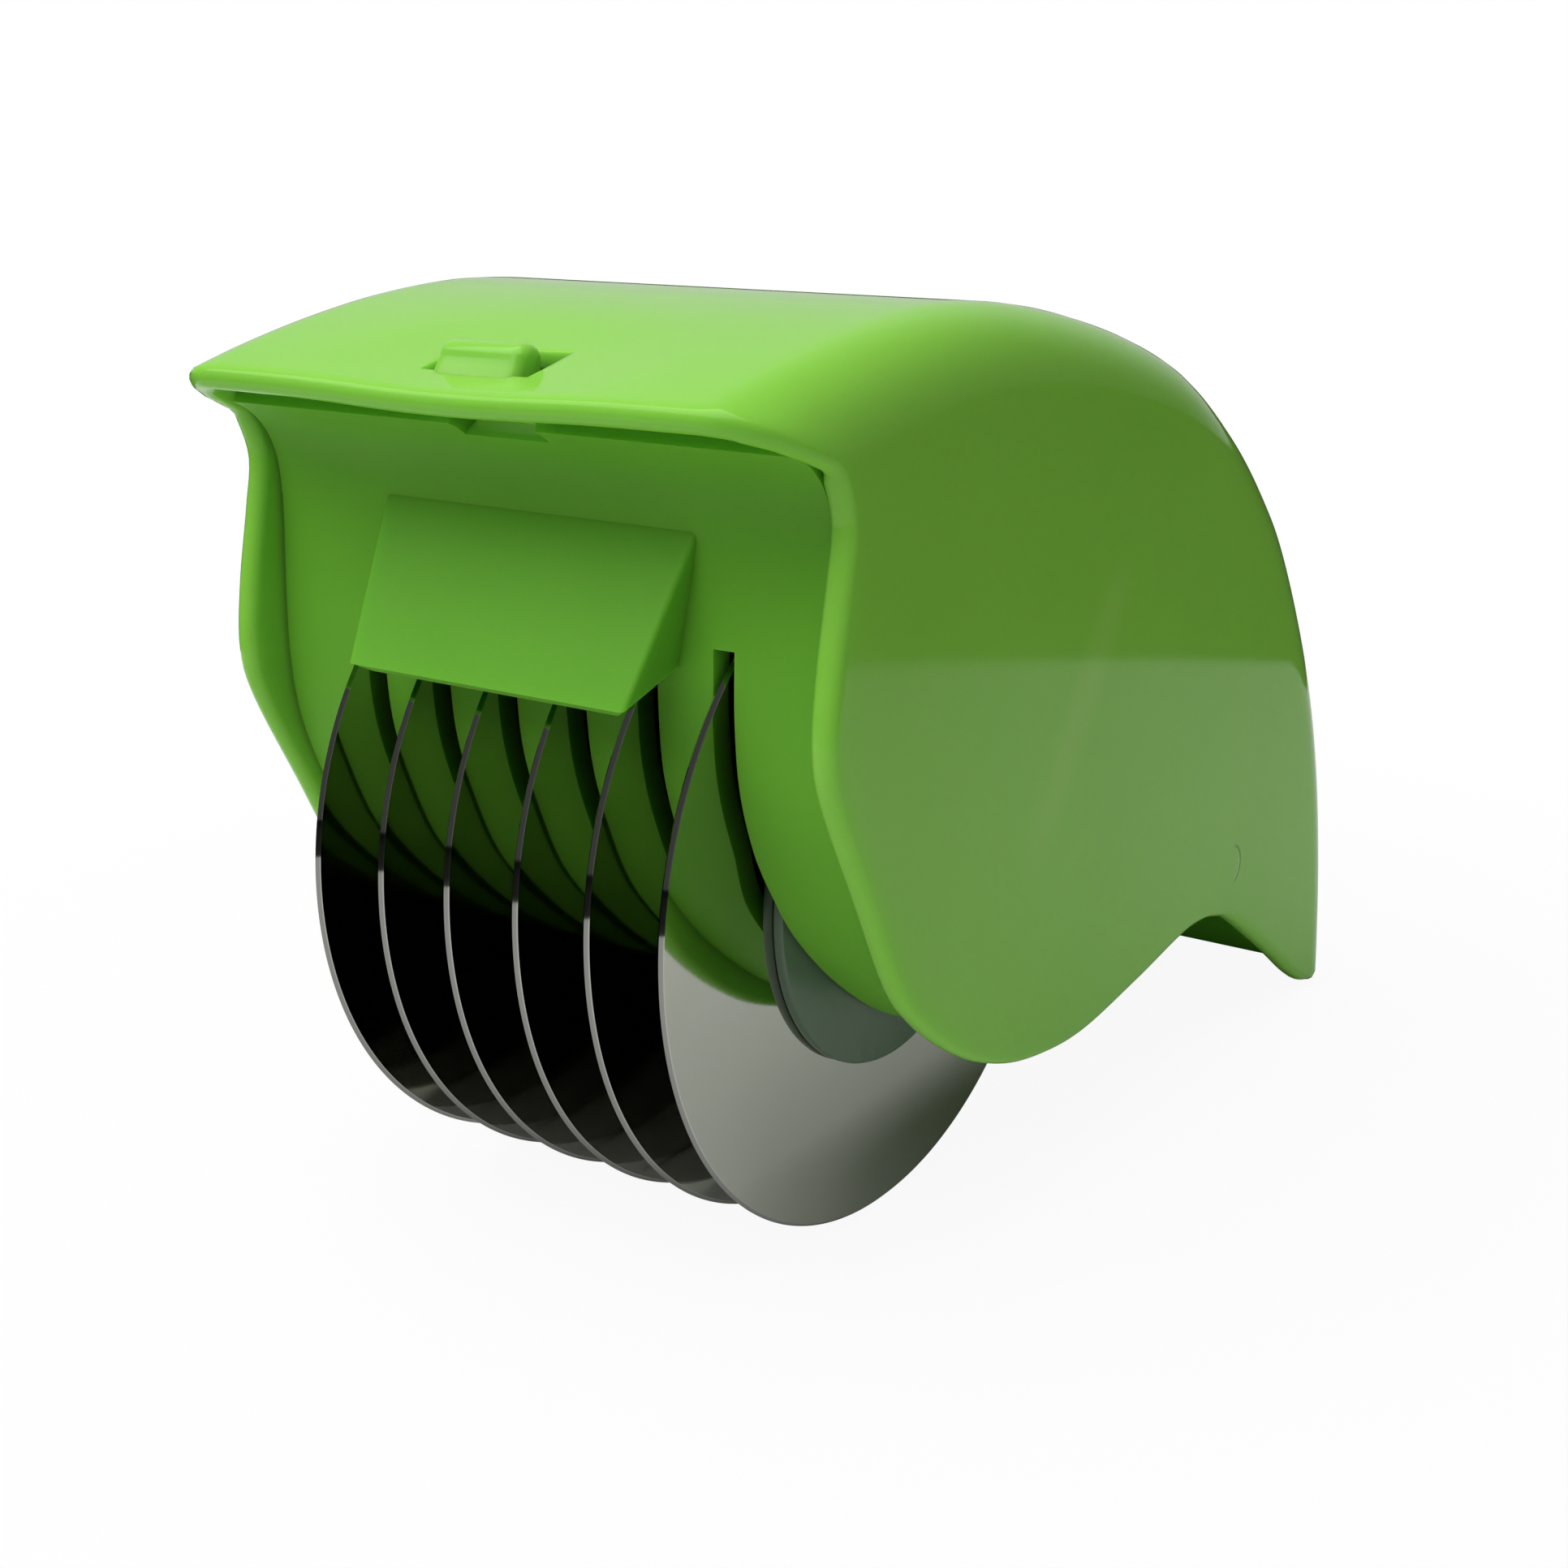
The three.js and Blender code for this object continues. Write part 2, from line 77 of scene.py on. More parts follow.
def side(points):
    """Points of the side view, from millimetres about the axle's foot to (y, z) in the frame, in metres.

    Each point turns about the axle by the lean."""
    from_axle = np.array(points, float) * MM - [0, AXLE_Z]
    return from_axle @ LEAN_TURN + AXLE


def catmull(points, count):
    """A smooth curve through the points: each span is the usual cubic of its four nearest points.

    The result is spaced evenly along its length."""
    n = len(points)
    t = np.linspace(0, n - 1, SPAN_STEPS * n)
    i = np.minimum(t.astype(int), n - 2)
    f = (t - i)[:, None]
    a, b = points[np.maximum(i - 1, 0)], points[i]
    c, d = points[i + 1], points[np.minimum(i + 2, n - 1)]
    v0, v1 = (c - a) / 2, (d - b) / 2
    curve = (2 * b - 2 * c + v0 + v1) * f**3 + (3 * c - 3 * b - 2 * v0 - v1) * f**2 + v0 * f + b
    return evenly(curve, count)


def evenly(curve, count):
    """The same curve with points evenly spaced along its length."""
    length = np.r_[0, np.cumsum(np.linalg.norm(np.diff(curve, axis=0), axis=1))]
    at = np.linspace(0, length[-1], count)
    return np.stack([np.interp(at, length, curve[:, k]) for k in range(curve.shape[1])], 1)


def left_normal(curve):
    """The unit normal on the left of a plane curve, at each of its points."""
    run = np.gradient(curve, axis=0)
    run /= np.linalg.norm(run, axis=1, keepdims=True)
    return np.stack([-run[:, 1], run[:, 0]], 1)


print("axle at", AXLE_Y, AXLE_Z, "half width", HALF_WIDTH)

# %% [markdown]
# Every piece below ends in the same way: an array of points and an array of faces become a mesh, doubled
# points are merged, edges sharper than an angle stay crisp, and the piece rides on its body.

# %% Mesh helpers
SHARP = math.radians(38)
MERGE = 0.002 * MM
TINY = 0.0001 * MM


def make_piece(name, points, faces, body, nodes, finish, sharp=SHARP):
    """One finished piece: points in metres, faces as rows of point numbers, and what it stands for."""
    mesh = bpy.data.meshes.new(name)
    mesh.from_pydata(np.asarray(points).tolist(), [], [[int(i) for i in f] for f in faces])
    work = bmesh.new()
    work.from_mesh(mesh)
    bmesh.ops.remove_doubles(work, verts=work.verts, dist=MERGE)
    bmesh.ops.dissolve_degenerate(work, edges=work.edges, dist=TINY)
    bmesh.ops.recalc_face_normals(work, faces=work.faces)
    work.to_mesh(mesh)
    work.free()
    mesh.shade_smooth()
    mesh.set_sharp_from_angle(angle=sharp)
    piece = bpy.data.objects.new(name, mesh)
    bpy.context.collection.objects.link(piece)
    mesh.materials.append(finish)
    if nodes:
        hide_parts(*nodes)
    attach(piece, body)
    print(name, len(mesh.polygons), "faces")
    return piece


def grid_faces(rows, columns, start=0):
    """Quads of a grid of rows x columns points, numbered row by row from start."""
    corner = start + np.arange(rows - 1)[:, None] * columns + np.arange(columns - 1)[None, :]
    return np.stack([corner, corner + 1, corner + columns + 1, corner + columns], -1).reshape(-1, 4)


def turned(profile, segments, centre_y=AXLE_Y, centre_z=AXLE_Z):
    """A closed loop of (radius, x) points turned about an axis along X."""
    angle = np.linspace(0, 2 * math.pi, segments + 1)
    loop = np.vstack([profile, profile[:1]])
    radius, x = loop[None, :, 0], loop[None, :, 1]
    y = centre_y + radius * np.cos(angle)[:, None]
    z = centre_z + radius * np.sin(angle)[:, None]
    points = np.stack([np.broadcast_to(x, y.shape), y, z], -1)
    return points.reshape(-1, 3), grid_faces(segments + 1, len(loop))


# %% [markdown]
# Shader maths reads better as sums than as nodes. A small class wraps a socket, so that 1 - mask or
# noise * 0.2 adds the Math nodes by itself, and one method of the material makes every other node.

# %% Shader maths
class Signal:
    """A value in a material that can be added, multiplied and so on."""

    def __init__(self, finish, socket):
        self.finish, self.socket = finish, socket

    def _math(self, operation, a, b):
        return self.finish.node("ShaderNodeMath", {"operation": operation}, {0: a, 1: b})

    def __add__(self, other):
        return self._math("ADD", self, other)

    def __radd__(self, other):
        return self._math("ADD", other, self)

    def __sub__(self, other):
        return self._math("SUBTRACT", self, other)

    def __rsub__(self, other):
        return self._math("SUBTRACT", other, self)

    def __mul__(self, other):
        return self._math("MULTIPLY", self, other)

    def __rmul__(self, other):
        return self._math("MULTIPLY", other, self)

    def between(self, low, high):
        """0 below low, 1 above high, smooth in between."""
        settings = {"interpolation_type": "SMOOTHSTEP"}
        return self.finish.node("ShaderNodeMapRange", settings, {0: self, 1: low, 2: high})


class Finish:
    """A material with one Principled shader."""

    def __init__(self, name):
        self.material = bpy.data.materials.new(name)
        self.material.use_nodes = True
        self.tree = self.material.node_tree
        self.shader = self.tree.nodes["Principled BSDF"]

    def node(self, kind, settings, inputs, output=0):
        """A node of that kind, with its settings and then its inputs; returns one output as a Signal."""
        made = self.tree.nodes.new(kind)
        for key, value in settings.items():
            setattr(made, key, value)
        for key, value in inputs.items():
            self.feed(made.inputs[key], value)
        return Signal(self, made.outputs[output])

    def feed(self, socket, value):
        if isinstance(value, Signal):
            self.tree.links.new(value.socket, socket)
        else:
            socket.default_value = value

    def set(self, **inputs):
        """Inputs of the shader, with an underscore for each space in a name."""
        for key, value in inputs.items():
            self.feed(self.shader.inputs[key.replace("_", " ")], value)
        return self

    def place(self, scale=(1, 1, 1), turn=(0, 0, 0)):
        """Object coordinates in metres, scaled and turned."""
        where = self.node("ShaderNodeTexCoord", {}, {}, "Object")
        return self.node("ShaderNodeMapping", {}, {"Vector": where, "Scale": scale, "Rotation": turn})

    def noise(self, scale, detail=2.0, stretch=(1, 1, 1), turn=(0, 0, 0)):
        where = self.place(stretch, turn)
        return self.node("ShaderNodeTexNoise", {}, {"Vector": where, "Scale": scale, "Detail": detail})

    def offset(self, spot):
        """Object coordinates, measured from a spot."""
        where = self.node("ShaderNodeTexCoord", {}, {}, "Object")
        return self.node("ShaderNodeVectorMath", {"operation": "SUBTRACT"}, {0: where, 1: spot})

    def along(self, vector, direction):
        """How far a vector reaches along a direction."""
        settings = {"operation": "DOT_PRODUCT"}
        return self.node("ShaderNodeVectorMath", settings, {0: vector, 1: direction}, "Value")

    def length(self, vector, keep=(1, 1, 1)):
        """The length of a vector, with the axes marked 0 left out."""
        flat = self.node("ShaderNodeVectorMath", {"operation": "MULTIPLY"}, {0: vector, 1: keep})
        return self.node("ShaderNodeVectorMath", {"operation": "LENGTH"}, {0: flat}, "Value")

    def blend(self, share, low, high):
        """The colour low where share is 0 and high where it is 1."""
        settings = {"data_type": "RGBA"}
        return self.node("ShaderNodeMix", settings, {0: share, 6: low, 7: high}, 2)

    def bump(self, height, depth):
        return self.node("ShaderNodeBump", {}, {"Height": height, "Distance": depth, "Strength": 1.0})


# %% [markdown]
# The hood, the comb and the catch are lime plastic, and the comb's is darker and duller. A moulding is never
# quite even: its gloss drifts where the melt cooled slower, fine specks dull the surface, and the colour
# shifts by a hair. The hood has two more marks: a pale streak on the right wall, which is a painted
# highlight, and a thin groove round the hinge's stud, darkened on its rear half as painted shade.

# %% Plastic finishes
# The pale streak on the right wall is a painted highlight.
HIGHLIGHT_STREAK_TOP, HIGHLIGHT_STREAK_LOW = side([(19.5, 56.5), (1.8, 29.5)])
HIGHLIGHT_STREAK_WIDTH = 3.8 * MM
HIGHLIGHT_STREAK_FADE = 9.0 * MM
HIGHLIGHT_STREAK_SHARE = 0.3
PAINTED_HIGHLIGHT_PALE = (0.36, 0.66, 0.13, 1)
# A thin groove rings the hinge's stud; the darker colour on its rear half is painted shade.
STUD_RING = 1.9 * MM
STUD_RING_EASE = 0.3 * MM
GROOVE_SHADE_SHARE = 0.6
GROOVE_PAINTED_SHADE = (0.03, 0.10, 0.01, 1)
SPECK_SHARE = 0.03
SPECK_DEPTH = 0.04 * MM


def stud_groove_and_shade(finish):
    """A share that is 1 on the rear half of a thin ring over the hinge, round the stud: a groove, with
    painted shade on that half.
    """
    from_hinge = finish.offset((0, *HINGE))
    radius = finish.length(from_hinge, (0, 1, 1))
    rise = radius.between(STUD_RING - STUD_RING_EASE, STUD_RING)
    ring = rise * (1 - radius.between(STUD_RING, STUD_RING + STUD_RING_EASE))
    return ring * finish.along(from_hinge, (0, 1, 0)).between(0.1 * MM, 1.2 * MM)


def painted_highlight_streak(finish):
    """A share that is 1 along a soft slanting line on the right wall, where a painted highlight lightens the
    colour.
    """
    run = HIGHLIGHT_STREAK_TOP - HIGHLIGHT_STREAK_LOW
    half = float(np.linalg.norm(run)) / 2
    run = run / (2 * half)
    from_middle = finish.offset((0, *((HIGHLIGHT_STREAK_TOP + HIGHLIGHT_STREAK_LOW) / 2)))
    across = finish.along(from_middle, (0, -run[1], run[0]))
    along = finish.along(from_middle, (0, *run))
    line = across.between(-HIGHLIGHT_STREAK_WIDTH, 0) * (1 - across.between(0, HIGHLIGHT_STREAK_WIDTH))
    ends = along.between(-half, HIGHLIGHT_STREAK_FADE - half) * (1 - along.between(half - HIGHLIGHT_STREAK_FADE, half))
    return line * ends * finish.along(from_middle, (1, 0, 0)).between(0, HALF_WIDTH / 2)


def lime_plastic(name, colour, shade, dull, shine, groove_and_highlight):
    """Lime plastic between two tones, with its least roughness and its shine. Only the hood gets the painted
    highlight and the groove's painted shade.
    """
    finish = Finish(name)
    drift = finish.noise(38.0, 3.0)
    gloss = finish.noise(90.0, 4.0)
    speck = finish.noise(5200.0, 2.0)
    tone = finish.blend(drift.between(0.3, 0.7), colour, shade)
    height = speck * SPECK_SHARE
    if groove_and_highlight:
        groove_and_shade = stud_groove_and_shade(finish)
        # The pale streak blended in here is a painted highlight.
        tone = finish.blend(painted_highlight_streak(finish) * HIGHLIGHT_STREAK_SHARE, tone, PAINTED_HIGHLIGHT_PALE)
        # The groove's rear half is darkened here with painted shade.
        tone = finish.blend(groove_and_shade * GROOVE_SHADE_SHARE, tone, GROOVE_PAINTED_SHADE)
        height = height - groove_and_shade
    finish.set(
        Base_Color=tone,
        Roughness=dull + gloss * 0.05,
        Normal=finish.bump(height, SPECK_DEPTH),
        IOR=1.49,
        Specular_IOR_Level=shine,
        Subsurface_Weight=0.35,
        Subsurface_Radius=(0.4, 1.0, 0.15),
        Subsurface_Scale=0.004,
    )
    return finish.material


HOOD_LIME, HOOD_SHADE = (0.250, 0.602, 0.068, 1), (0.236, 0.582, 0.062, 1)
COMB_LIME, COMB_SHADE = (0.150, 0.450, 0.034, 1), (0.140, 0.433, 0.030, 1)
HOOD_GREEN = lime_plastic("hood_lime_plastic", HOOD_LIME, HOOD_SHADE, 0.04, 0.15, True)
COMB_GREEN = lime_plastic("comb_lime_plastic", COMB_LIME, COMB_SHADE, 0.45, 0.12, False)
CATCH_GREEN = lime_plastic("catch_lime_plastic", HOOD_LIME, HOOD_SHADE, 0.12, 0.20, False)

# %% [markdown]
# The hood is one bent shell: a top that runs from the lip over the back to the feet, a rounded corner on
# each side, and flat walls that end in a wavy rim. The grid goes along the hood's line one way and across
# from rim to rim the other way. A second skin lies one wall inside it, and a half-round strip joins the two
# at the rim.

# %% Hood: curves
HOOD_LINE = side([
    (-33.3, 71.3), (-27.2, 73), (-19.5, 74.7), (-11.1, 76), (-2, 76.5), (7.6, 75.8), (17.7, 74),
    (27.5, 71.4), (35.2, 68.3), (43.3, 63.2), (49.8, 57.8), (55.1, 52.1), (60.7, 43.7), (65.2, 34.9),
    (68.4, 25.9), (70.6, 15.8), (71.7, 6.3), (72, 0),
])
RIM_LINE = side([
    (-25, 67), (-23.6, 63.2), (-24.2, 59.1), (-25.4, 53), (-25.9, 47.5), (-24.8, 43.1), (-20.5, 34.8),
    (-16.4, 27), (-13.2, 23.3), (-8.3, 19.5), (-2.8, 16.5), (4.2, 14.4), (12.9, 13.7), (23.6, 15.1),
    (32.7, 16.7), (37.4, 16.9), (40.9, 16.3), (44.8, 14.8), (54.4, 8.7), (60.2, 4.7), (63.7, 2.6),
])
FOOT_FRONT = np.array([AXLE_Y + 65.6 * MM, 0])
WALL = 2.1 * MM
CORNER = 6.5 * MM
RIM_ROUND = 0.7 * MM
LIP_WALL = 1.9 * MM
LIP_SHARE = 0.05
CURVE_STEPS = 1200

whole_line = catmull(HOOD_LINE, CURVE_STEPS)
hood_curve = evenly(whole_line[whole_line[:, 1] > 0], CURVE_STEPS)
hood_normal = left_normal(hood_curve)
lip_edge = evenly(np.vstack([hood_curve[:1], RIM_LINE[:1]]), 40)
lip_and_rim = np.vstack([lip_edge, catmull(RIM_LINE, 900)[1:]])
trim = np.vstack([lip_and_rim, evenly(np.vstack([lip_and_rim[-1:], [FOOT_FRONT]]), 20)[1:]])
trim = np.vstack([trim, evenly(np.array([FOOT_FRONT, hood_curve[-1]]), 30)[1:]])
trim_inside = trim + left_normal(trim) * RIM_ROUND
print("rim length", round(float(np.linalg.norm(np.diff(trim, axis=0), axis=1).sum()), 4))

# %% [markdown]
# The rounded corner dips below the hood's line, so it meets the rim a little later than the top does. For
# each depth, the first and the last point of the sunk line that lie inside the rim are found on the whole
# array. The rear edge arches up between the two feet, so the last rows draw in there. A shallow round dish
# surrounds the catch's window: points inside a large sphere move onto it.

# %% Hood: grid
ACROSS_TOP = 41
ACROSS_CORNER = 12
ACROSS_WALL = 26
ALONG = 150
ARCH_RISE = 0.8 * MM
ARCH_END_RISE = 0.2 * MM
ARCH_BLEND = 12
FOOT_WIDTH = 4.2 * MM
FOOT_EASE = 1.2 * MM
WINDOW_HALF = 5.2 * MM
WINDOW_FRONT = side([(-28.4, 72.7)])[0]
WINDOW_BACK = side([(-22.9, 73)])[0]
DISH_MIDDLE = np.r_[0, side([(-25.6, 73.35)])[0]]
DISH_OUT = np.array([0, -0.22, 0.975])
DISH_DEPTH = 0.55 * MM
DISH_RADIUS = 150 * MM
DISH_EASE = 0.35 * MM
REAR_FROM = HINGE[0] + 8 * MM
FRONT_SHARE = 0.3
EARLY, LATE = slice(0, 500), slice(700, None)
FLAT_BEND = 0.1


def inset(depth):
    """The hood's line, sunk by that depth."""
    return hood_curve - hood_normal * depth


def reach(depth):
    """First and last share of the hood's line that lies inside the rim at that depth."""
    line = inset(depth)
    front = trim_inside[: len(lip_and_rim) // 2]
    front_y = np.interp(-line[:, 1], -front[:, 1], front[:, 0])
    rear = trim_inside[len(trim_inside) // 2:]
    rear = rear[rear[:, 0] > REAR_FROM]
    rear_z = np.interp(line[:, 0], rear[:, 0], rear[:, 1])
    share = np.linspace(0, 1, len(line))
    early = share < FRONT_SHARE
    first = share[early & (line[:, 0] >= front_y)][0]
    last = share[~early & (line[:, 1] >= rear_z)][-1]
    return first, last


def arch_height(x):
    """How high the rear edge arches above the floor: a flat parabola that falls to a foot at each side."""
    half = HALF_WIDTH - FOOT_WIDTH
    curve = ARCH_RISE - (ARCH_RISE - ARCH_END_RISE) * np.minimum(np.abs(x) / half, 1)**2
    foot = np.clip((half + FOOT_EASE - np.abs(x)) / FOOT_EASE, 0, 1)
    return curve * foot**2 * (3 - 2 * foot)


def hood_point(share, depth):
    """The hood's line at a share of its length, sunk by a depth, as (y, z) and its outward normal."""
    at = np.linspace(0, 1, len(hood_curve))
    spot = np.stack([np.interp(share, at, hood_curve[:, k]) for k in (0, 1)], -1)
    out = np.stack([np.interp(share, at, hood_normal[:, k]) for k in (0, 1)], -1)
    return spot - out * depth[..., None], out


top_half = HALF_WIDTH - CORNER
top_x = np.unique(np.r_[np.linspace(-1, 1, ACROSS_TOP) * top_half, -WINDOW_HALF, WINDOW_HALF])
bend = np.linspace(0, math.pi / 2, ACROSS_CORNER)[1:]
drop = np.linspace(0, 1, ACROSS_WALL)[1:]
right_bend = np.r_[bend, np.full(len(drop), math.pi / 2)]
right_drop = np.r_[np.zeros(len(bend)), drop]
column_bend = np.r_[-right_bend[::-1], np.zeros(len(top_x)), right_bend]
column_drop = np.r_[right_drop[::-1], np.zeros(len(top_x)), right_drop]
column_depth = CORNER * (1 - np.cos(column_bend))
column_x = top_half * np.sign(column_bend) + CORNER * np.sin(column_bend)
column_x[len(right_bend): len(right_bend) + len(top_x)] = top_x

depths = np.r_[0, CORNER * (1 - np.cos(bend))]
ends = np.array([reach(depth) for depth in depths])
first = np.interp(column_depth, depths, ends[:, 0])
last = np.interp(column_depth, depths, ends[:, 1])
hood_share = np.linspace(0, 1, len(hood_curve))
window_y = [WINDOW_FRONT[0], WINDOW_BACK[0]]
window_shares = np.interp(window_y, hood_curve[EARLY, 0], hood_share[EARLY])
window_rows = (window_shares - ends[0, 0]) / (ends[0, 1] - ends[0, 0])
along = np.unique(np.r_[np.linspace(0, 1, ALONG), window_rows])

lift = last - np.interp(-arch_height(column_x), -hood_curve[LATE, 1], hood_share[LATE])
share = first + (last - first) * along[:, None] - np.maximum(lift, 0) * along[:, None]**ARCH_BLEND
sunk, outward = hood_point(share, np.broadcast_to(column_depth, share.shape))
rim_ends = [sunk[k, -1] for k in (0, -1)]
nearest = [int(np.argmin(np.linalg.norm(trim_inside - end, axis=1))) for end in rim_ends]
rim_curve = evenly(trim_inside[nearest[0]: nearest[1] + 1], len(along))
rim_curve[0], rim_curve[-1] = rim_ends
spot = sunk + (rim_curve[:, None, :] - sunk) * column_drop[None, :, None]
skin = np.concatenate([np.broadcast_to(column_x[None, :, None], spot.shape[:2] + (1,)), spot], -1)
facing = np.concatenate([
    np.broadcast_to(np.sin(column_bend)[None, :, None], spot.shape[:2] + (1,)),
    outward * np.cos(column_bend)[None, :, None],
], -1)
facing /= np.linalg.norm(facing, axis=-1, keepdims=True)
thin = np.clip(along / LIP_SHARE, 0, 1)[:, None] * np.ones(len(column_drop))
thin = np.where(column_drop > 0, 1, thin)
lining = skin - facing * (LIP_WALL + (WALL - LIP_WALL) * thin)[..., None]
dish_centre = DISH_MIDDLE + DISH_OUT * (DISH_RADIUS - DISH_DEPTH)
inside = DISH_RADIUS - np.linalg.norm(skin - dish_centre, axis=-1)
sink = (inside + np.sqrt(inside**2 + DISH_EASE**2)) / 2 * (np.abs(column_bend) < FLAT_BEND)
dish = facing * sink[..., None]
skin = skin - dish
lining = lining - dish * (1 - thin)[..., None]
print("hood grid", skin.shape)

# %% [markdown]
# Moulded rims are rounded, and the photograph shows a bright line along this one. The strip over an edge
# is half a flat ellipse from the outer skin to the lining. The window behind the lip gets the same strip.

# %% Hood: rims and mesh
RIM_STEPS = 7
WINDOW_ROUND = 0.25 * MM
NUDGE = 1e-9


def rim_strip(outer, inner, bulge):
    """Half-ellipse rows from a closed outer loop to its inner loop, bulging away from the skin."""
    run = np.roll(outer, -1, 0) - np.roll(outer, 1, 0)
    away = np.cross(run, outer - inner)
    away /= np.linalg.norm(away, axis=1, keepdims=True) + 1e-12
    turn = np.linspace(0, math.pi, RIM_STEPS)[:, None, None]
    middle, arm = (outer + inner) / 2, (outer - inner) / 2
    strip = middle + arm * np.cos(turn) + away * bulge * np.sin(turn)
    return np.concatenate([strip, strip[:, :1]], 1)


rows, columns = skin.shape[:2]
number = np.arange(rows * columns).reshape(rows, columns)
flat = slice(len(drop), columns - len(drop))
loop = np.concatenate([
    number[0, flat], number[1:-1, -1], number[-1, flat][::-1], number[1:-1, 0][::-1],
])
outer_points, inner_points = skin.reshape(-1, 3), lining.reshape(-1, 3)
row_low, row_high = np.searchsorted(along, window_rows - NUDGE)
window_x = np.array([-WINDOW_HALF, WINDOW_HALF]) - NUDGE
col_low, col_high = np.searchsorted(top_x, window_x) + len(right_bend)
quads = grid_faces(rows, columns)
cell_row, cell_col = np.divmod(np.arange(len(quads)), columns - 1)
in_window = (cell_row >= row_low) & (cell_row < row_high)
in_window &= (cell_col >= col_low) & (cell_col < col_high)
quads = quads[~in_window]
window_loop = np.concatenate([
    number[row_low, col_low:col_high], number[row_low:row_high, col_high],
    number[row_high, col_low + 1:col_high + 1][::-1], number[row_low + 1:row_high + 1, col_low][::-1],
])[::-1]
edge = rim_strip(outer_points[loop], inner_points[loop], RIM_ROUND)
frame_edge = rim_strip(outer_points[window_loop], inner_points[window_loop], WINDOW_ROUND)
count = rows * columns
hood_points = np.vstack([outer_points, inner_points, edge.reshape(-1, 3), frame_edge.reshape(-1, 3)])
hood_faces = np.vstack([
    quads, quads[:, ::-1] + count, grid_faces(RIM_STEPS, edge.shape[1], 2 * count),
    grid_faces(RIM_STEPS, frame_edge.shape[1], 2 * count + edge.shape[0] * edge.shape[1]),
])
make_piece("hood", hood_points, hood_faces, "housing", ["housing"], HOOD_GREEN)

# %% [markdown]
# The comb is a curved plate with a slot for each blade. Its grid has columns on the slots' sides and rows
# on the slots' ends, so a slot is just a block of missing cells. As on the hood, a lining lies one plate
# inside, and flat strips close the outer edge and each slot. The two outer slots widen for the washers.

# %% Comb
COMB_LINE = side([
    (-26.6, 68), (-25.2, 67.3), (-23.5, 65.7), (-22.4, 63.4), (-22, 60.5), (-22, 57), (-22.2, 52),
    (-22.2, 47), (-21.6, 42), (-19.9, 37), (-16.9, 31), (-12, 25.6), (-6.3, 21), (-1.2, 18),
    (5, 15.8), (14, 15.1), (24, 16), (33, 17.2), (42.5, 16.4),
])
COMB_PLATE = 2.0 * MM
COMB_GAP = 0.4 * MM
COMB_HALF = HALF_WIDTH - WALL - COMB_GAP
COMB_TOP = slice(0, 150)
BLADES = [f"blade_{i}" for i in range(1, 7)]
BLADE_X = np.array([np.mean([corner[0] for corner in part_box(blade)]) for blade in BLADES])
BLADE_LOW, BLADE_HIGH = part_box("blade_1")
BLADE_RADIUS = (BLADE_HIGH[2] - BLADE_LOW[2]) / 2
BLADE_HALF = (BLADE_HIGH[0] - BLADE_LOW[0]) / 2
WASHER_LOW, WASHER_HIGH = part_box("end_washer_right")
WASHER_RADIUS = (WASHER_HIGH[2] - WASHER_LOW[2]) / 2
STACK_HALF = WASHER_HIGH[0]
NOTCH_EDGE = 0.5 * MM
SLOT_END = 1.8 * MM
SLOT_HALF = 0.95 * MM
SLOT_SHIFT = 0.35 * MM
SLOT_NEAR = 0.1 * MM
WASHER_GAP = 0.6 * MM
WASHER_NEAR, WASHER_EASE = 5 * MM, 4 * MM
ROOT = np.array(JOINTS["latch_press"]["pos_m"])[1:]
LATCH_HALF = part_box("latch")[1][0]
TONGUE = 1.6 * MM
ROOT_GAP = 0.05 * MM
ROOT_SIDE_GAP = 0.05 * MM

comb_curve = catmull(COMB_LINE, 1500)
comb_normal = left_normal(comb_curve)
comb_share = np.linspace(0, 1, len(comb_curve))
slot_rows = comb_share[np.linalg.norm(comb_curve - AXLE, axis=1) < BLADE_RADIUS + SLOT_END][[0, -1]]
notch_y = ROOT[0] + TONGUE / 2 + ROOT_GAP
notch_row = np.interp(notch_y, comb_curve[COMB_TOP, 0], comb_share[COMB_TOP])
notch_half = LATCH_HALF + ROOT_SIDE_GAP
slot_left = BLADE_X + SLOT_SHIFT - SLOT_HALF
slot_right = BLADE_X + SLOT_SHIFT + SLOT_HALF
even_x = np.linspace(-COMB_HALF, COMB_HALF, 36)
comb_x = np.unique(np.r_[even_x, slot_left, slot_right, -notch_half, notch_half])
comb_s = np.unique(np.r_[np.linspace(0, 1, 120), slot_rows, notch_row])


def washer_room(share):
    """The share by which the outer slots widen at each row: 1 where a washer passes, and 0 far off."""
    near = np.linalg.norm(on_comb(share)[0] - AXLE, axis=1)
    ease = np.clip((WASHER_RADIUS + WASHER_NEAR - near) / WASHER_EASE, 0, 1)
    return ease**2 * (3 - 2 * ease)


def on_comb(share):
    """The comb's outer line at a share of its length, and the normal that points inwards."""
    spot = np.stack([np.interp(share, comb_share, comb_curve[:, k]) for k in (0, 1)], -1)
    inwards = np.stack([np.interp(share, comb_share, comb_normal[:, k]) for k in (0, 1)], -1)
    return spot, inwards


def hole_loop(numbers, r0, r1, c0, c1):
    """Point numbers round a block of missing cells, with the hole on the side that strips bulge to."""
    return np.concatenate([
        numbers[r0, c0:c1], numbers[r0:r1, c1],
        numbers[r1, c0 + 1:c1 + 1][::-1], numbers[r0 + 1:r1 + 1, c0][::-1],
    ])[::-1]


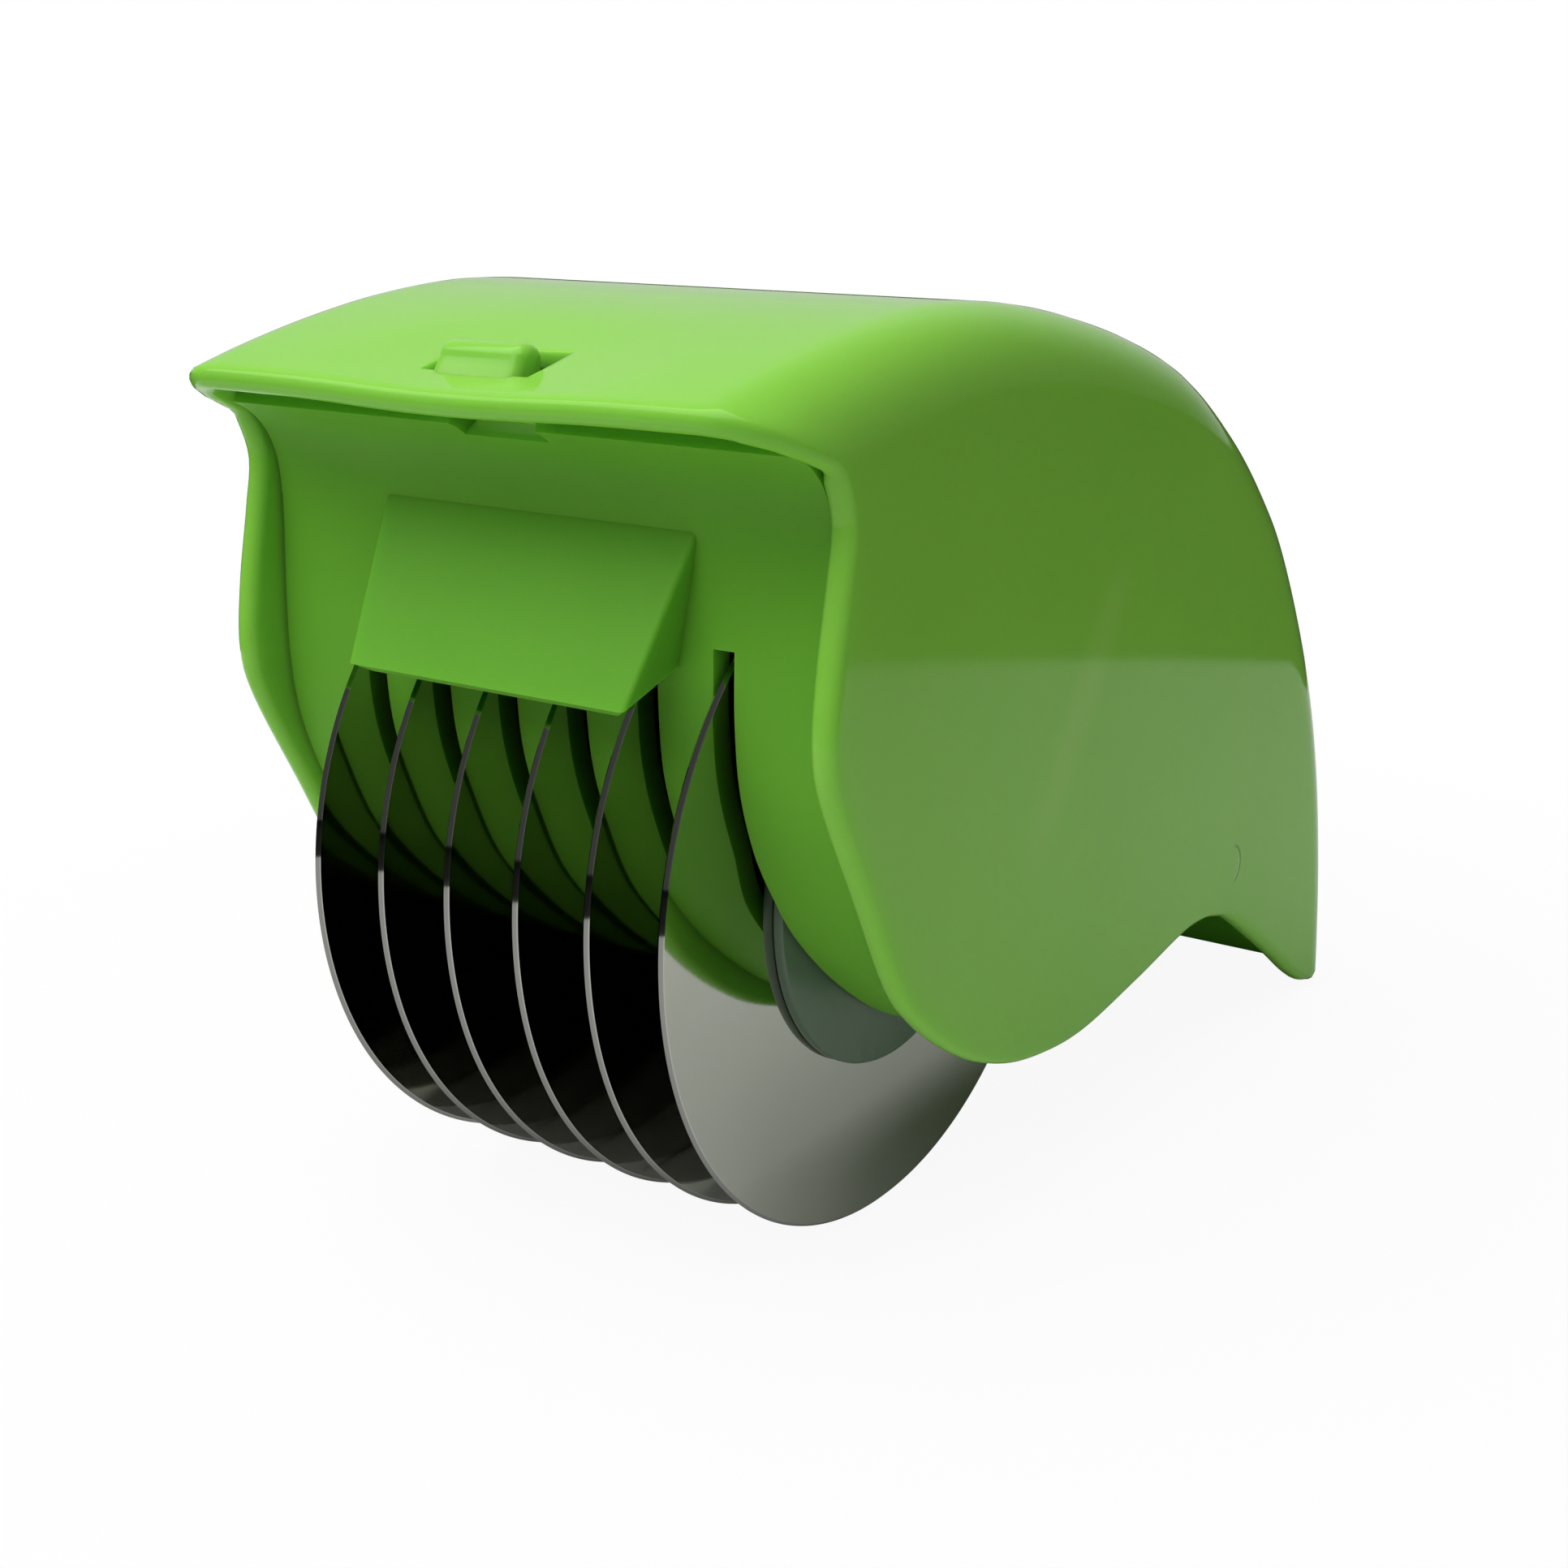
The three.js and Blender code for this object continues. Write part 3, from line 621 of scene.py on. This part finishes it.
line, inwards = on_comb(comb_s)
rows, columns = len(comb_s), len(comb_x)
plate = np.zeros((rows, columns, 3))
plate[..., 0], plate[..., 1:] = comb_x, line[:, None, :]
last_edge = np.where(comb_x > 0, slot_right[-1], -slot_left[0])
beyond = np.clip((COMB_HALF - np.abs(comb_x)) / (COMB_HALF - last_edge), 0, 1)
beyond[np.abs(comb_x) < last_edge - SLOT_NEAR] = 0
widening = (STACK_HALF + WASHER_GAP - last_edge) * beyond * np.sign(comb_x)
plate[..., 0] += washer_room(comb_s)[:, None] * widening
number = np.arange(rows * columns).reshape(rows, columns)
quads = grid_faces(rows, columns)
cell_row, cell_col = np.divmod(np.arange(len(quads)), columns - 1)
r0, r1 = np.searchsorted(comb_s, slot_rows - NUDGE)
kept = np.ones(len(quads), bool)
loops = []
for left, right in zip(slot_left, slot_right):
    c0, c1 = np.searchsorted(comb_x, [left - NUDGE, right - NUDGE])
    kept &= ~((cell_row >= r0) & (cell_row < r1) & (cell_col >= c0) & (cell_col < c1))
    loops.append(hole_loop(number, r0, r1, c0, c1))
n1 = np.searchsorted(comb_s, notch_row - NUDGE)
n_left, n_right = np.searchsorted(comb_x, [-notch_half - NUDGE, notch_half - NUDGE])
kept &= ~((cell_row < n1) & (cell_col >= n_left) & (cell_col < n_right))
outline = np.concatenate([
    number[0, :n_left], number[:n1, n_left], number[n1, n_left:n_right], number[1:n1 + 1, n_right][::-1],
    number[0, n_right:], number[1:-1, -1], number[-1][::-1], number[1:-1, 0][::-1],
])
depth = np.full((rows, columns), COMB_PLATE)
depth[n1, n_left + 1:n_right] = NOTCH_EDGE
back = plate.copy()
back[..., 1:] += inwards[:, None, :] * depth[..., None]
outer_points, inner_points = plate.reshape(-1, 3), back.reshape(-1, 3)
parts = [outer_points, inner_points]
faces = [quads[kept], quads[kept][:, ::-1] + len(outer_points)]
start = 2 * len(outer_points)
for ring in [outline, *loops]:
    strip = rim_strip(outer_points[ring], inner_points[ring], 0.0)
    parts.append(strip.reshape(-1, 3))
    faces.append(grid_faces(RIM_STEPS, strip.shape[1], start))
    start += len(parts[-1])
points, faces = np.vstack(parts), np.vstack(faces)
make_piece("comb_plate", points, faces, "comb", ["comb"], COMB_GREEN)

# %% [markdown]
# The comb turns on a round barrel across its rear end. A stud at each end of it sits in the hood's wall.

# %% Comb: hinge barrel
BARREL = 4.0 * MM
STUD = 2.2 * MM
STUD_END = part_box("comb")[1][0]
BREAK = 0.3 * MM
barrel_half = np.array([
    (BARREL, COMB_HALF - BREAK), (BARREL - BREAK, COMB_HALF), (STUD, COMB_HALF),
    (STUD, STUD_END - BREAK), (STUD - BREAK, STUD_END), (0, STUD_END),
])
barrel_profile = np.vstack([barrel_half[::-1] * [1, -1], barrel_half])
points, faces = turned(barrel_profile, 48, *HINGE)
make_piece("hinge_barrel", points, faces, "comb", [], COMB_GREEN)

# %% [markdown]
# The finger flap slopes out from the comb, with a web down each side and the bottom open. Across, its line
# is a letter U: a web, a small round corner, the plate, and the same back. Down the slope the U grows from
# nothing to its full depth. The skin and its lining are two such sheets with a strip round their edge.

# %% Comb: finger flap
FLAP_TOP, FLAP_TIP, FLAP_ROOT = side([(-21.9, 61.4), (-28.8, 48.9), (-22.2, 51.4)])
FLAP_PAST = 4.0 * MM
FLAP_HALF = BLADE_X[4] + SLOT_HALF + FLAP_PAST
FLAP_TAPER = 1.7 * MM
FLAP_PLATE = 1.4 * MM
FLAP_ROWS = 30
FLAP_FLAT_STEPS = 11
FLAP_BED = np.array([1.0 * MM, 0])
FLAP_BULGE = np.array([-0.2 * MM, 0])
FLAP_CORNER, FLAP_CORNER_LEAST = 0.5 * MM, 0.2 * MM


def flap_sheet(sink):
    """The flap's U, sunk inwards by some depth: x across, and a share of the way from comb to plate."""
    down = np.linspace(0, 1, FLAP_ROWS)[:, None]
    half = FLAP_HALF - sink - FLAP_TAPER * down
    front = FLAP_TOP + (FLAP_TIP - FLAP_TOP) * down
    across = (FLAP_TIP - FLAP_TOP) / np.linalg.norm(FLAP_TIP - FLAP_TOP)
    front = front + np.array([-across[1], across[0]]) * sink
    root_middle = (FLAP_TOP + FLAP_ROOT) / 2 + FLAP_BULGE
    root = catmull(np.array([FLAP_TOP, root_middle, FLAP_ROOT]), FLAP_ROWS) + FLAP_BED
    round_corner = np.linspace(0, math.pi / 2, 7)
    corner = max(FLAP_CORNER - sink, FLAP_CORNER_LEAST)
    web_out = np.linspace(0, 1, 9)[:-1]
    flat = half - corner
    x_right = np.concatenate([
        flat * np.linspace(0, 1, FLAP_FLAT_STEPS + 1)[:-1],
        flat + corner * np.sin(round_corner),
        half + np.zeros(len(web_out)),
    ], 1)
    plain = np.zeros(FLAP_FLAT_STEPS)
    dip_right = np.r_[plain, corner * (1 - np.cos(round_corner)), np.full(len(web_out), corner)]
    web_right = np.r_[plain, np.zeros(len(round_corner)), 1 - web_out[::-1]]
    x = np.concatenate([-x_right[:, :0:-1], x_right], 1)
    dip = np.r_[dip_right[:0:-1], dip_right]
    web = np.r_[web_right[:0:-1], web_right]
    to_root = root - front
    depth = np.linalg.norm(to_root, axis=1, keepdims=True)
    share = np.minimum(dip[None, :] / depth, 1)
    share = share + (1 - share) * web[None, :]
    spot = front[:, None, :] + to_root[:, None, :] * share[..., None]
    return np.concatenate([x[..., None], spot], -1)


skin, lining = flap_sheet(0.0), flap_sheet(FLAP_PLATE)
rows, columns = skin.shape[:2]
number = np.arange(rows * columns).reshape(rows, columns)
loop = np.concatenate([number[0], number[1:-1, -1], number[-1][::-1], number[1:-1, 0][::-1]])
outer_points, inner_points = skin.reshape(-1, 3), lining.reshape(-1, 3)
strip = rim_strip(outer_points[loop], inner_points[loop], 0.0)
quads = grid_faces(rows, columns)
count = rows * columns
points = np.vstack([outer_points, inner_points, strip.reshape(-1, 3)])
edge_faces = grid_faces(RIM_STEPS, strip.shape[1], 2 * count)
faces = np.vstack([quads, quads[:, ::-1] + count, edge_faces])
make_piece("finger_flap", points, faces, "comb", [], COMB_GREEN)

# %% [markdown]
# The catch is a tongue with a rounded bar on top. Its side view is one closed line. The line is carried along
# X, and near each end the bar shrinks a little towards its middle line, so that its ends are rounded. The
# tongue's root keeps its full width and turns between the two sides of the comb's notch.

# %% Latch
CATCH_GAP = 0.25 * MM
CATCH_HEIGHT = 3.4 * MM
BAR_DEPTH = 2.0 * MM
BAR_SLOPE = 1.0 * MM
TONGUE_SHOULDER = 0.4 * MM
END_ROUND = 1.0 * MM
END_SHRINK = 0.9
CATCH_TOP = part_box("latch")[1][2]
CATCH_LOW = CATCH_TOP - CATCH_HEIGHT
CREST = 1.0 * MM


def catch_front(height):
    """The bar's front at some height: on an arc about the comb's hinge, a gap behind the window's front."""
    radius = np.linalg.norm(WINDOW_FRONT - HINGE) - CATCH_GAP
    return HINGE[0] - np.sqrt(radius**2 - (np.asarray(height) - HINGE[1])**2)


front_z = np.linspace(CATCH_LOW, CATCH_TOP - CREST, 5)
bar_front = np.stack([catch_front(front_z), front_z], 1)
bar_back = catch_front(CATCH_TOP) + BAR_DEPTH
crest_turn = np.linspace(math.pi, 0, 11)[1:]
crest_half = (bar_back - bar_front[-1, 0]) / 2
crest = np.stack([
    bar_front[-1, 0] + crest_half * (1 + np.cos(crest_turn)),
    CATCH_TOP - CREST + CREST * np.sin(crest_turn),
], 1)
root_turn = np.linspace(0, -math.pi, 9)
root_round = ROOT + TONGUE / 2 * np.stack([np.cos(root_turn), np.sin(root_turn)], 1)
tongue_y = ROOT[0] + TONGUE / 4
tongue_back = np.array([
    [bar_back, CATCH_LOW + BAR_SLOPE], [tongue_y, CATCH_LOW], [tongue_y, ROOT[1] + TONGUE / 2],
])
tongue_front = np.array([[ROOT[0] - TONGUE / 2, CATCH_LOW - TONGUE_SHOULDER]])
latch_loop = np.vstack([bar_front, crest, tongue_back, root_round, tongue_front])
latch_loop = np.vstack([latch_loop, latch_loop[:1]])
middle = latch_loop.mean(0)
end_turn = np.linspace(0, math.pi / 2, 6)
x_end = LATCH_HALF - END_ROUND + END_ROUND * np.sin(end_turn)
shrink_end = END_ROUND * (1 - np.cos(end_turn))
x_all = np.r_[-x_end[::-1], x_end]
shrink = np.r_[shrink_end[::-1], shrink_end]
loop_in = -left_normal(latch_loop)
loop_in *= np.sign(np.sum((middle - latch_loop) * loop_in, axis=1).mean())
bar_share = np.clip((latch_loop[:, 1] - ROOT[1]) / (CATCH_LOW - ROOT[1]), 0, 1)
spot = latch_loop[None] + loop_in[None] * (shrink[:, None] * bar_share)[..., None] * END_SHRINK
points = np.concatenate([np.broadcast_to(x_all[:, None, None], spot.shape[:2] + (1,)), spot], -1)
ring = len(latch_loop)
caps = [list(range(ring - 1)), list(range((len(x_all) - 1) * ring, len(x_all) * ring - 1))]
faces = [list(f) for f in grid_faces(len(x_all), ring)] + caps
points = points.reshape(-1, 3)
make_piece("catch_tongue", points, faces, "latch", ["latch"], CATCH_GREEN)

# %% [markdown]
# The blades are thin steel discs, ground to a bevel on both sides. Grinding leaves fine lines across the
# face, so the gloss and the bump use a noise stretched along one way. The bevel is darker and smoother.

# %% Blade steel
BEVEL = 0.3 * MM
BEVEL_EASE = 0.1 * MM
BEVEL_DARK = (0.26, 0.26, 0.245, 1)
FACE_DARK, FACE_PALE = (0.45, 0.45, 0.405, 1), (0.49, 0.49, 0.445, 1)
LINE_DEPTH = 0.0004 * MM
EDGE = 0.05 * MM
BORE = 2.8 * MM
BLADE_SHARP = math.radians(6)


def ground_steel(name, bevel_from):
    finish = Finish(name)
    lines = finish.noise(2600.0, 3.0, stretch=(0.05, 0.02, 1.6), turn=(0.25, 0, 0))
    cloud = finish.noise(45.0, 3.0)
    radius = finish.length(finish.offset((0, AXLE_Y, AXLE_Z)), (0, 1, 1))
    bevel = radius.between(bevel_from, bevel_from + BEVEL_EASE)
    tone = finish.blend(cloud.between(0.3, 0.7), FACE_DARK, FACE_PALE)
    finish.set(
        Base_Color=finish.blend(bevel, tone, BEVEL_DARK),
        Metallic=1.0,
        Roughness=0.03 + lines * 0.05,
        Normal=finish.bump(lines * (1 - bevel), LINE_DEPTH),
    )
    return finish.material


BLADE_STEEL = ground_steel("ground_blade_steel", BLADE_RADIUS - BEVEL)
half_section = np.array([
    (BORE, BLADE_HALF), (BLADE_RADIUS - BEVEL, BLADE_HALF), (BLADE_RADIUS - EDGE, EDGE), (BLADE_RADIUS, 0),
])
section = np.vstack([half_section * [1, -1], half_section[-2::-1]])
for blade, x in zip(BLADES, BLADE_X):
    points, faces = turned(section + [0, x], 240)
    name = blade.replace("blade", "blade_disc")
    make_piece(name, points, faces, "blade_set", [blade], BLADE_STEEL, BLADE_SHARP)

# %% [markdown]
# A grey, slightly clear washer lies outside each end blade, and rings of the same plastic keep the blades
# apart. They are turned from a line with rounded edges.

# %% Washers, spacers, axle, bushes
GREY_DARK, GREY_PALE = (0.10, 0.17, 0.10, 1), (0.12, 0.195, 0.12, 1)
STEEL_DARK, STEEL_PALE = (0.55, 0.56, 0.56, 1), (0.66, 0.66, 0.65, 1)
BUSH_DARK, BUSH_PALE = (0.72, 0.71, 0.66, 1), (0.80, 0.79, 0.75, 1)
WASHER_ROUND, SPACER_ROUND = 0.25 * MM, 0.4 * MM
ROUND_SHARE = 0.3


def grey_plastic(name):
    finish = Finish(name)
    drift = finish.noise(120.0, 3.0)
    finish.set(
        Base_Color=finish.blend(drift.between(0.3, 0.7), GREY_DARK, GREY_PALE),
        Roughness=0.22 + drift * 0.12,
        Transmission_Weight=0.25,
        IOR=1.5,
    )
    return finish.material


def plain_steel(name):
    finish = Finish(name)
    grain = finish.noise(1500.0, 2.0, stretch=(1, 0.05, 0.05))
    tone = finish.blend(grain, STEEL_DARK, STEEL_PALE)
    finish.set(Base_Color=tone, Metallic=1.0, Roughness=0.25 + grain * 0.1)
    return finish.material


def pale_plastic(name):
    finish = Finish(name)
    drift = finish.noise(200.0, 3.0)
    tone = finish.blend(drift, BUSH_DARK, BUSH_PALE)
    finish.set(Base_Color=tone, Roughness=0.4 + drift * 0.1)
    return finish.material


GREY = grey_plastic("grey_washer_plastic")
STEEL = plain_steel("bright_axle_steel")
PALE = pale_plastic("pale_bush_plastic")


def rounded_ring(inner, outer, low, high, ease):
    """The closed line of a ring's section, with eased edges on its outer side."""
    cut = ROUND_SHARE * ease
    return np.array([
        (inner, low), (outer - ease, low), (outer - cut, low + cut), (outer, low + ease),
        (outer, high - ease), (outer - cut, high - cut), (outer - ease, high), (inner, high),
    ])


def grey_ring(name, node, segments, ease):
    """A ring of grey plastic on the axle, with its size and place from the node that it stands for."""
    low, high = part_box(node)
    outer = (high[2] - low[2]) / 2
    points, faces = turned(rounded_ring(BORE, outer, low[0], high[0], ease), segments)
    make_piece(name, points, faces, "blade_set", [node], GREY)


for end in ("left", "right"):
    grey_ring(f"grey_washer_{end}", f"end_washer_{end}", 128, WASHER_ROUND)
for i in range(1, 6):
    grey_ring(f"spacer_ring_{i}", f"spacer_{i}", 64, SPACER_ROUND)
INNER_METAL = ("axle", "clip_left", "clip_right")
INNER_PLASTIC = ("bush_left", "bush_right")
for node in INNER_METAL + INNER_PLASTIC:
    cad = frame["nodes"][node]
    cad.data.materials.clear()
    cad.data.materials.append(STEEL if node in INNER_METAL else PALE)

# %% [markdown]
# Inside the hood, a cheek at each side of the comb carries a bush for the axle. A cheek is a flat plate
# round the bush's hole: its outer line follows the comb, runs to the hinge and comes back over the axle.
# A boss on its inner face carries the rest of the bush.

# %% Comb: cheeks
CHEEK_BACK = side([(22, 36), (2, 50), (-12, 54)])
CHEEK = 2.0 * MM
BOSS_RADIUS = 7.0 * MM
BUSH_HOLE = 4.3 * MM
BUSH_FLANGE = 0.8 * MM
BOSS_ROUND = 0.3 * MM
cheek_front = comb_curve + comb_normal * COMB_PLATE / 2
cheek_front = cheek_front[cheek_front[:, 1] < CHEEK_BACK[-1, 1]]
cheek_line = evenly(np.vstack([cheek_front, [HINGE], CHEEK_BACK, cheek_front[:1]]), 200)
cheek_turn = np.arctan2(cheek_line[:, 1] - AXLE[1], cheek_line[:, 0] - AXLE[0])
hole_line = AXLE + BUSH_HOLE * np.stack([np.cos(cheek_turn), np.sin(cheek_turn)], 1)
cheek_inside = COMB_HALF - CHEEK
section_x = np.array([cheek_inside, cheek_inside, COMB_HALF, COMB_HALF, cheek_inside])
section = np.stack([hole_line, cheek_line, cheek_line, hole_line, hole_line], 1)
plate_x = np.broadcast_to(section_x[None, :, None], section.shape[:2] + (1,))
plate_points = np.concatenate([plate_x, section], -1).reshape(-1, 3)
boss_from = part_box("bush_right")[0][0] + BUSH_FLANGE
boss = rounded_ring(BUSH_HOLE, BOSS_RADIUS, boss_from, COMB_HALF - CHEEK / 2, BOSS_ROUND)
boss_points, boss_faces = turned(boss, 64)
cheek_points = np.vstack([plate_points, boss_points])
plate_faces = grid_faces(len(cheek_line), len(section_x))
cheek_faces = np.vstack([plate_faces, boss_faces + len(plate_points)])
for end, flip in (("left", -1), ("right", 1)):
    points = cheek_points * [flip, 1, 1]
    make_piece(f"axle_cheek_{end}", points, cheek_faces, "comb", [], COMB_GREEN)

# %% [markdown]
# One large soft lamp hangs overhead. A white sheet throws its light back on the walls and the comb, and the
# room beyond is dark, so the flat side wall shows a level line where the mirrored sheet ends. Seen straight,
# sheet and room are white, and only the shadow near the object stays.

# %% Stage, light and camera
FLOOR_SIZE = 3.0
FLOOR_WHITE = (0.80, 0.80, 0.80, 1)
FLOOR_DARK = (0.03, 0.03, 0.03, 1)
FLOOR_REACH = 208 * MM
SHADOW_SHARE = 0.07
SHADOW_NEAR, SHADOW_FAR = 85 * MM, 140 * MM
SHEET_EDGE = 1 * MM
ROOM_LIGHT = 0.14
BACKDROP_LIGHT = 0.55
BACKDROP_FROM, BACKDROP_FULL = 0.5, 0.85
WHITE = (1, 1, 1, 1)
LAMP_SPOT = (-0.16, -0.30, 0.85)
LAMP_SIZE = 1.2
LAMP_POWER = 13.2


def stage_floor():
    """A round white sheet on a dark floor. The camera sees the white room through it, and the shadow.

    From below it is clear, so the comb stays in sight when it swings down past the floor."""
    mesh = bpy.data.meshes.new("floor")
    corner = np.array([(-1, -1, 0), (1, -1, 0), (1, 1, 0), (-1, 1, 0)]) * FLOOR_SIZE
    mesh.from_pydata(corner.tolist(), [], [(0, 1, 2, 3)])
    floor = bpy.data.objects.new("floor", mesh)
    bpy.context.collection.objects.link(floor)
    finish = Finish("white_floor")
    from_axle = finish.length(finish.offset((0, AXLE_Y, 0)))
    past = from_axle.between(FLOOR_REACH - SHEET_EDGE, FLOOR_REACH + SHEET_EDGE)
    near = 1 - finish.length(finish.offset((0, 0, 0))).between(SHADOW_NEAR, SHADOW_FAR)
    tone = finish.blend(past, FLOOR_WHITE, FLOOR_DARK)
    finish.set(Base_Color=tone, Roughness=0.9, Specular_IOR_Level=0.0)
    seen = finish.node("ShaderNodeLightPath", {}, {}, "Is Camera Ray")
    below = finish.node("ShaderNodeNewGeometry", {}, {}, "Backfacing")
    clear = finish.node("ShaderNodeBsdfTransparent", {}, {})
    lit = Signal(finish, finish.shader.outputs[0])
    see_through = below + (1 - below) * seen * (1 - near * SHADOW_SHARE)
    mix = finish.node("ShaderNodeMixShader", {}, {0: see_through, 1: lit, 2: clear})
    finish.feed(finish.tree.nodes["Material Output"].inputs["Surface"], mix)
    mesh.materials.append(finish.material)


def aim(holder, place, target, up=(0, 0.001, 1)):
    """Puts a lamp or camera at a place, its -Z axis towards the target and its Y axis up."""
    back = np.array(place, float) - np.array(target, float)
    back /= np.linalg.norm(back)
    right = np.cross(up, back)
    right /= np.linalg.norm(right)
    turn = np.eye(4)
    turn[:3, 0], turn[:3, 1], turn[:3, 2], turn[:3, 3] = right, np.cross(back, right), back, place
    holder.matrix_world = Matrix(turn.tolist())


def softbox(name, place, target, size, power):
    """A square lamp that faces a point."""
    lamp = bpy.data.lights.new(name, "AREA")
    lamp.size, lamp.energy = size, power
    holder = bpy.data.objects.new(name, lamp)
    bpy.context.collection.objects.link(holder)
    aim(holder, place, target)


def room(heading):
    """A dark room, with a pale backdrop behind the object in reflections.

    It is white where the camera looks straight at it, or through something clear."""
    world = bpy.data.worlds.new("room")
    bpy.context.scene.world = world
    world.use_nodes = True
    nodes, links = world.node_tree.nodes, world.node_tree.links

    def add(kind, **inputs):
        made = nodes.new(kind)
        for key, value in inputs.items():
            made.inputs[key.replace("_", " ")].default_value = value
        return made

    path = add("ShaderNodeLightPath")
    where = add("ShaderNodeTexCoord")
    toward = nodes.new("ShaderNodeVectorMath")
    toward.operation = "DOT_PRODUCT"
    toward.inputs[1].default_value = heading
    behind = add("ShaderNodeMapRange", From_Min=BACKDROP_FROM, From_Max=BACKDROP_FULL, To_Max=BACKDROP_LIGHT)
    shiny = nodes.new("ShaderNodeMath")
    shiny.operation = "MULTIPLY"
    strength = nodes.new("ShaderNodeMath")
    strength.operation = "MAXIMUM"
    strength.inputs[1].default_value = ROOM_LIGHT
    lit, seen = nodes["Background"], add("ShaderNodeBackground", Color=WHITE, Strength=1.0)
    lit.inputs["Color"].default_value = WHITE
    mix = nodes.new("ShaderNodeMixShader")
    straight = nodes.new("ShaderNodeMath")
    straight.operation = "MAXIMUM"
    links.new(where.outputs["Generated"], toward.inputs[0])
    links.new(toward.outputs["Value"], behind.inputs["Value"])
    links.new(behind.outputs[0], shiny.inputs[0])
    links.new(path.outputs["Is Glossy Ray"], shiny.inputs[1])
    links.new(shiny.outputs[0], strength.inputs[0])
    links.new(strength.outputs[0], lit.inputs["Strength"])
    links.new(path.outputs["Is Camera Ray"], straight.inputs[0])
    links.new(path.outputs["Is Transmission Ray"], straight.inputs[1])
    links.new(straight.outputs[0], mix.inputs[0])
    links.new(lit.outputs[0], mix.inputs[1])
    links.new(seen.outputs[0], mix.inputs[2])
    links.new(mix.outputs[0], nodes["World Output"].inputs["Surface"])


def lean_place(x, y, z):
    """A place in millimetres about the axle's foot, leaned like the side view, in metres."""
    return np.r_[x * MM, side([(y, z)])[0]]


MIDDLE = (0.0, 0.0, 0.04)
CAMERA_SPOT = lean_place(114.1, -152.5, 90.0)
CAMERA_TARGET = lean_place(7.667, 0.0, 35.744)
CAMERA_UP = np.r_[0, np.array([0, 1]) @ LEAN_TURN]
heading = (CAMERA_TARGET - CAMERA_SPOT) * [1, 1, 0]
stage_floor()
room((heading / np.linalg.norm(heading)).tolist())
softbox("top_softbox", LAMP_SPOT, MIDDLE, LAMP_SIZE, LAMP_POWER)

view = bpy.data.cameras.new("photo_camera")
view.sensor_fit = "HORIZONTAL"
view.sensor_width = 36.0
view.lens = 52.71
view.clip_start = 0.01
camera = bpy.data.objects.new("photo_camera", view)
bpy.context.collection.objects.link(camera)
aim(camera, CAMERA_SPOT, CAMERA_TARGET, CAMERA_UP)
bpy.context.scene.camera = camera
bpy.context.scene.view_settings.view_transform = "Standard"
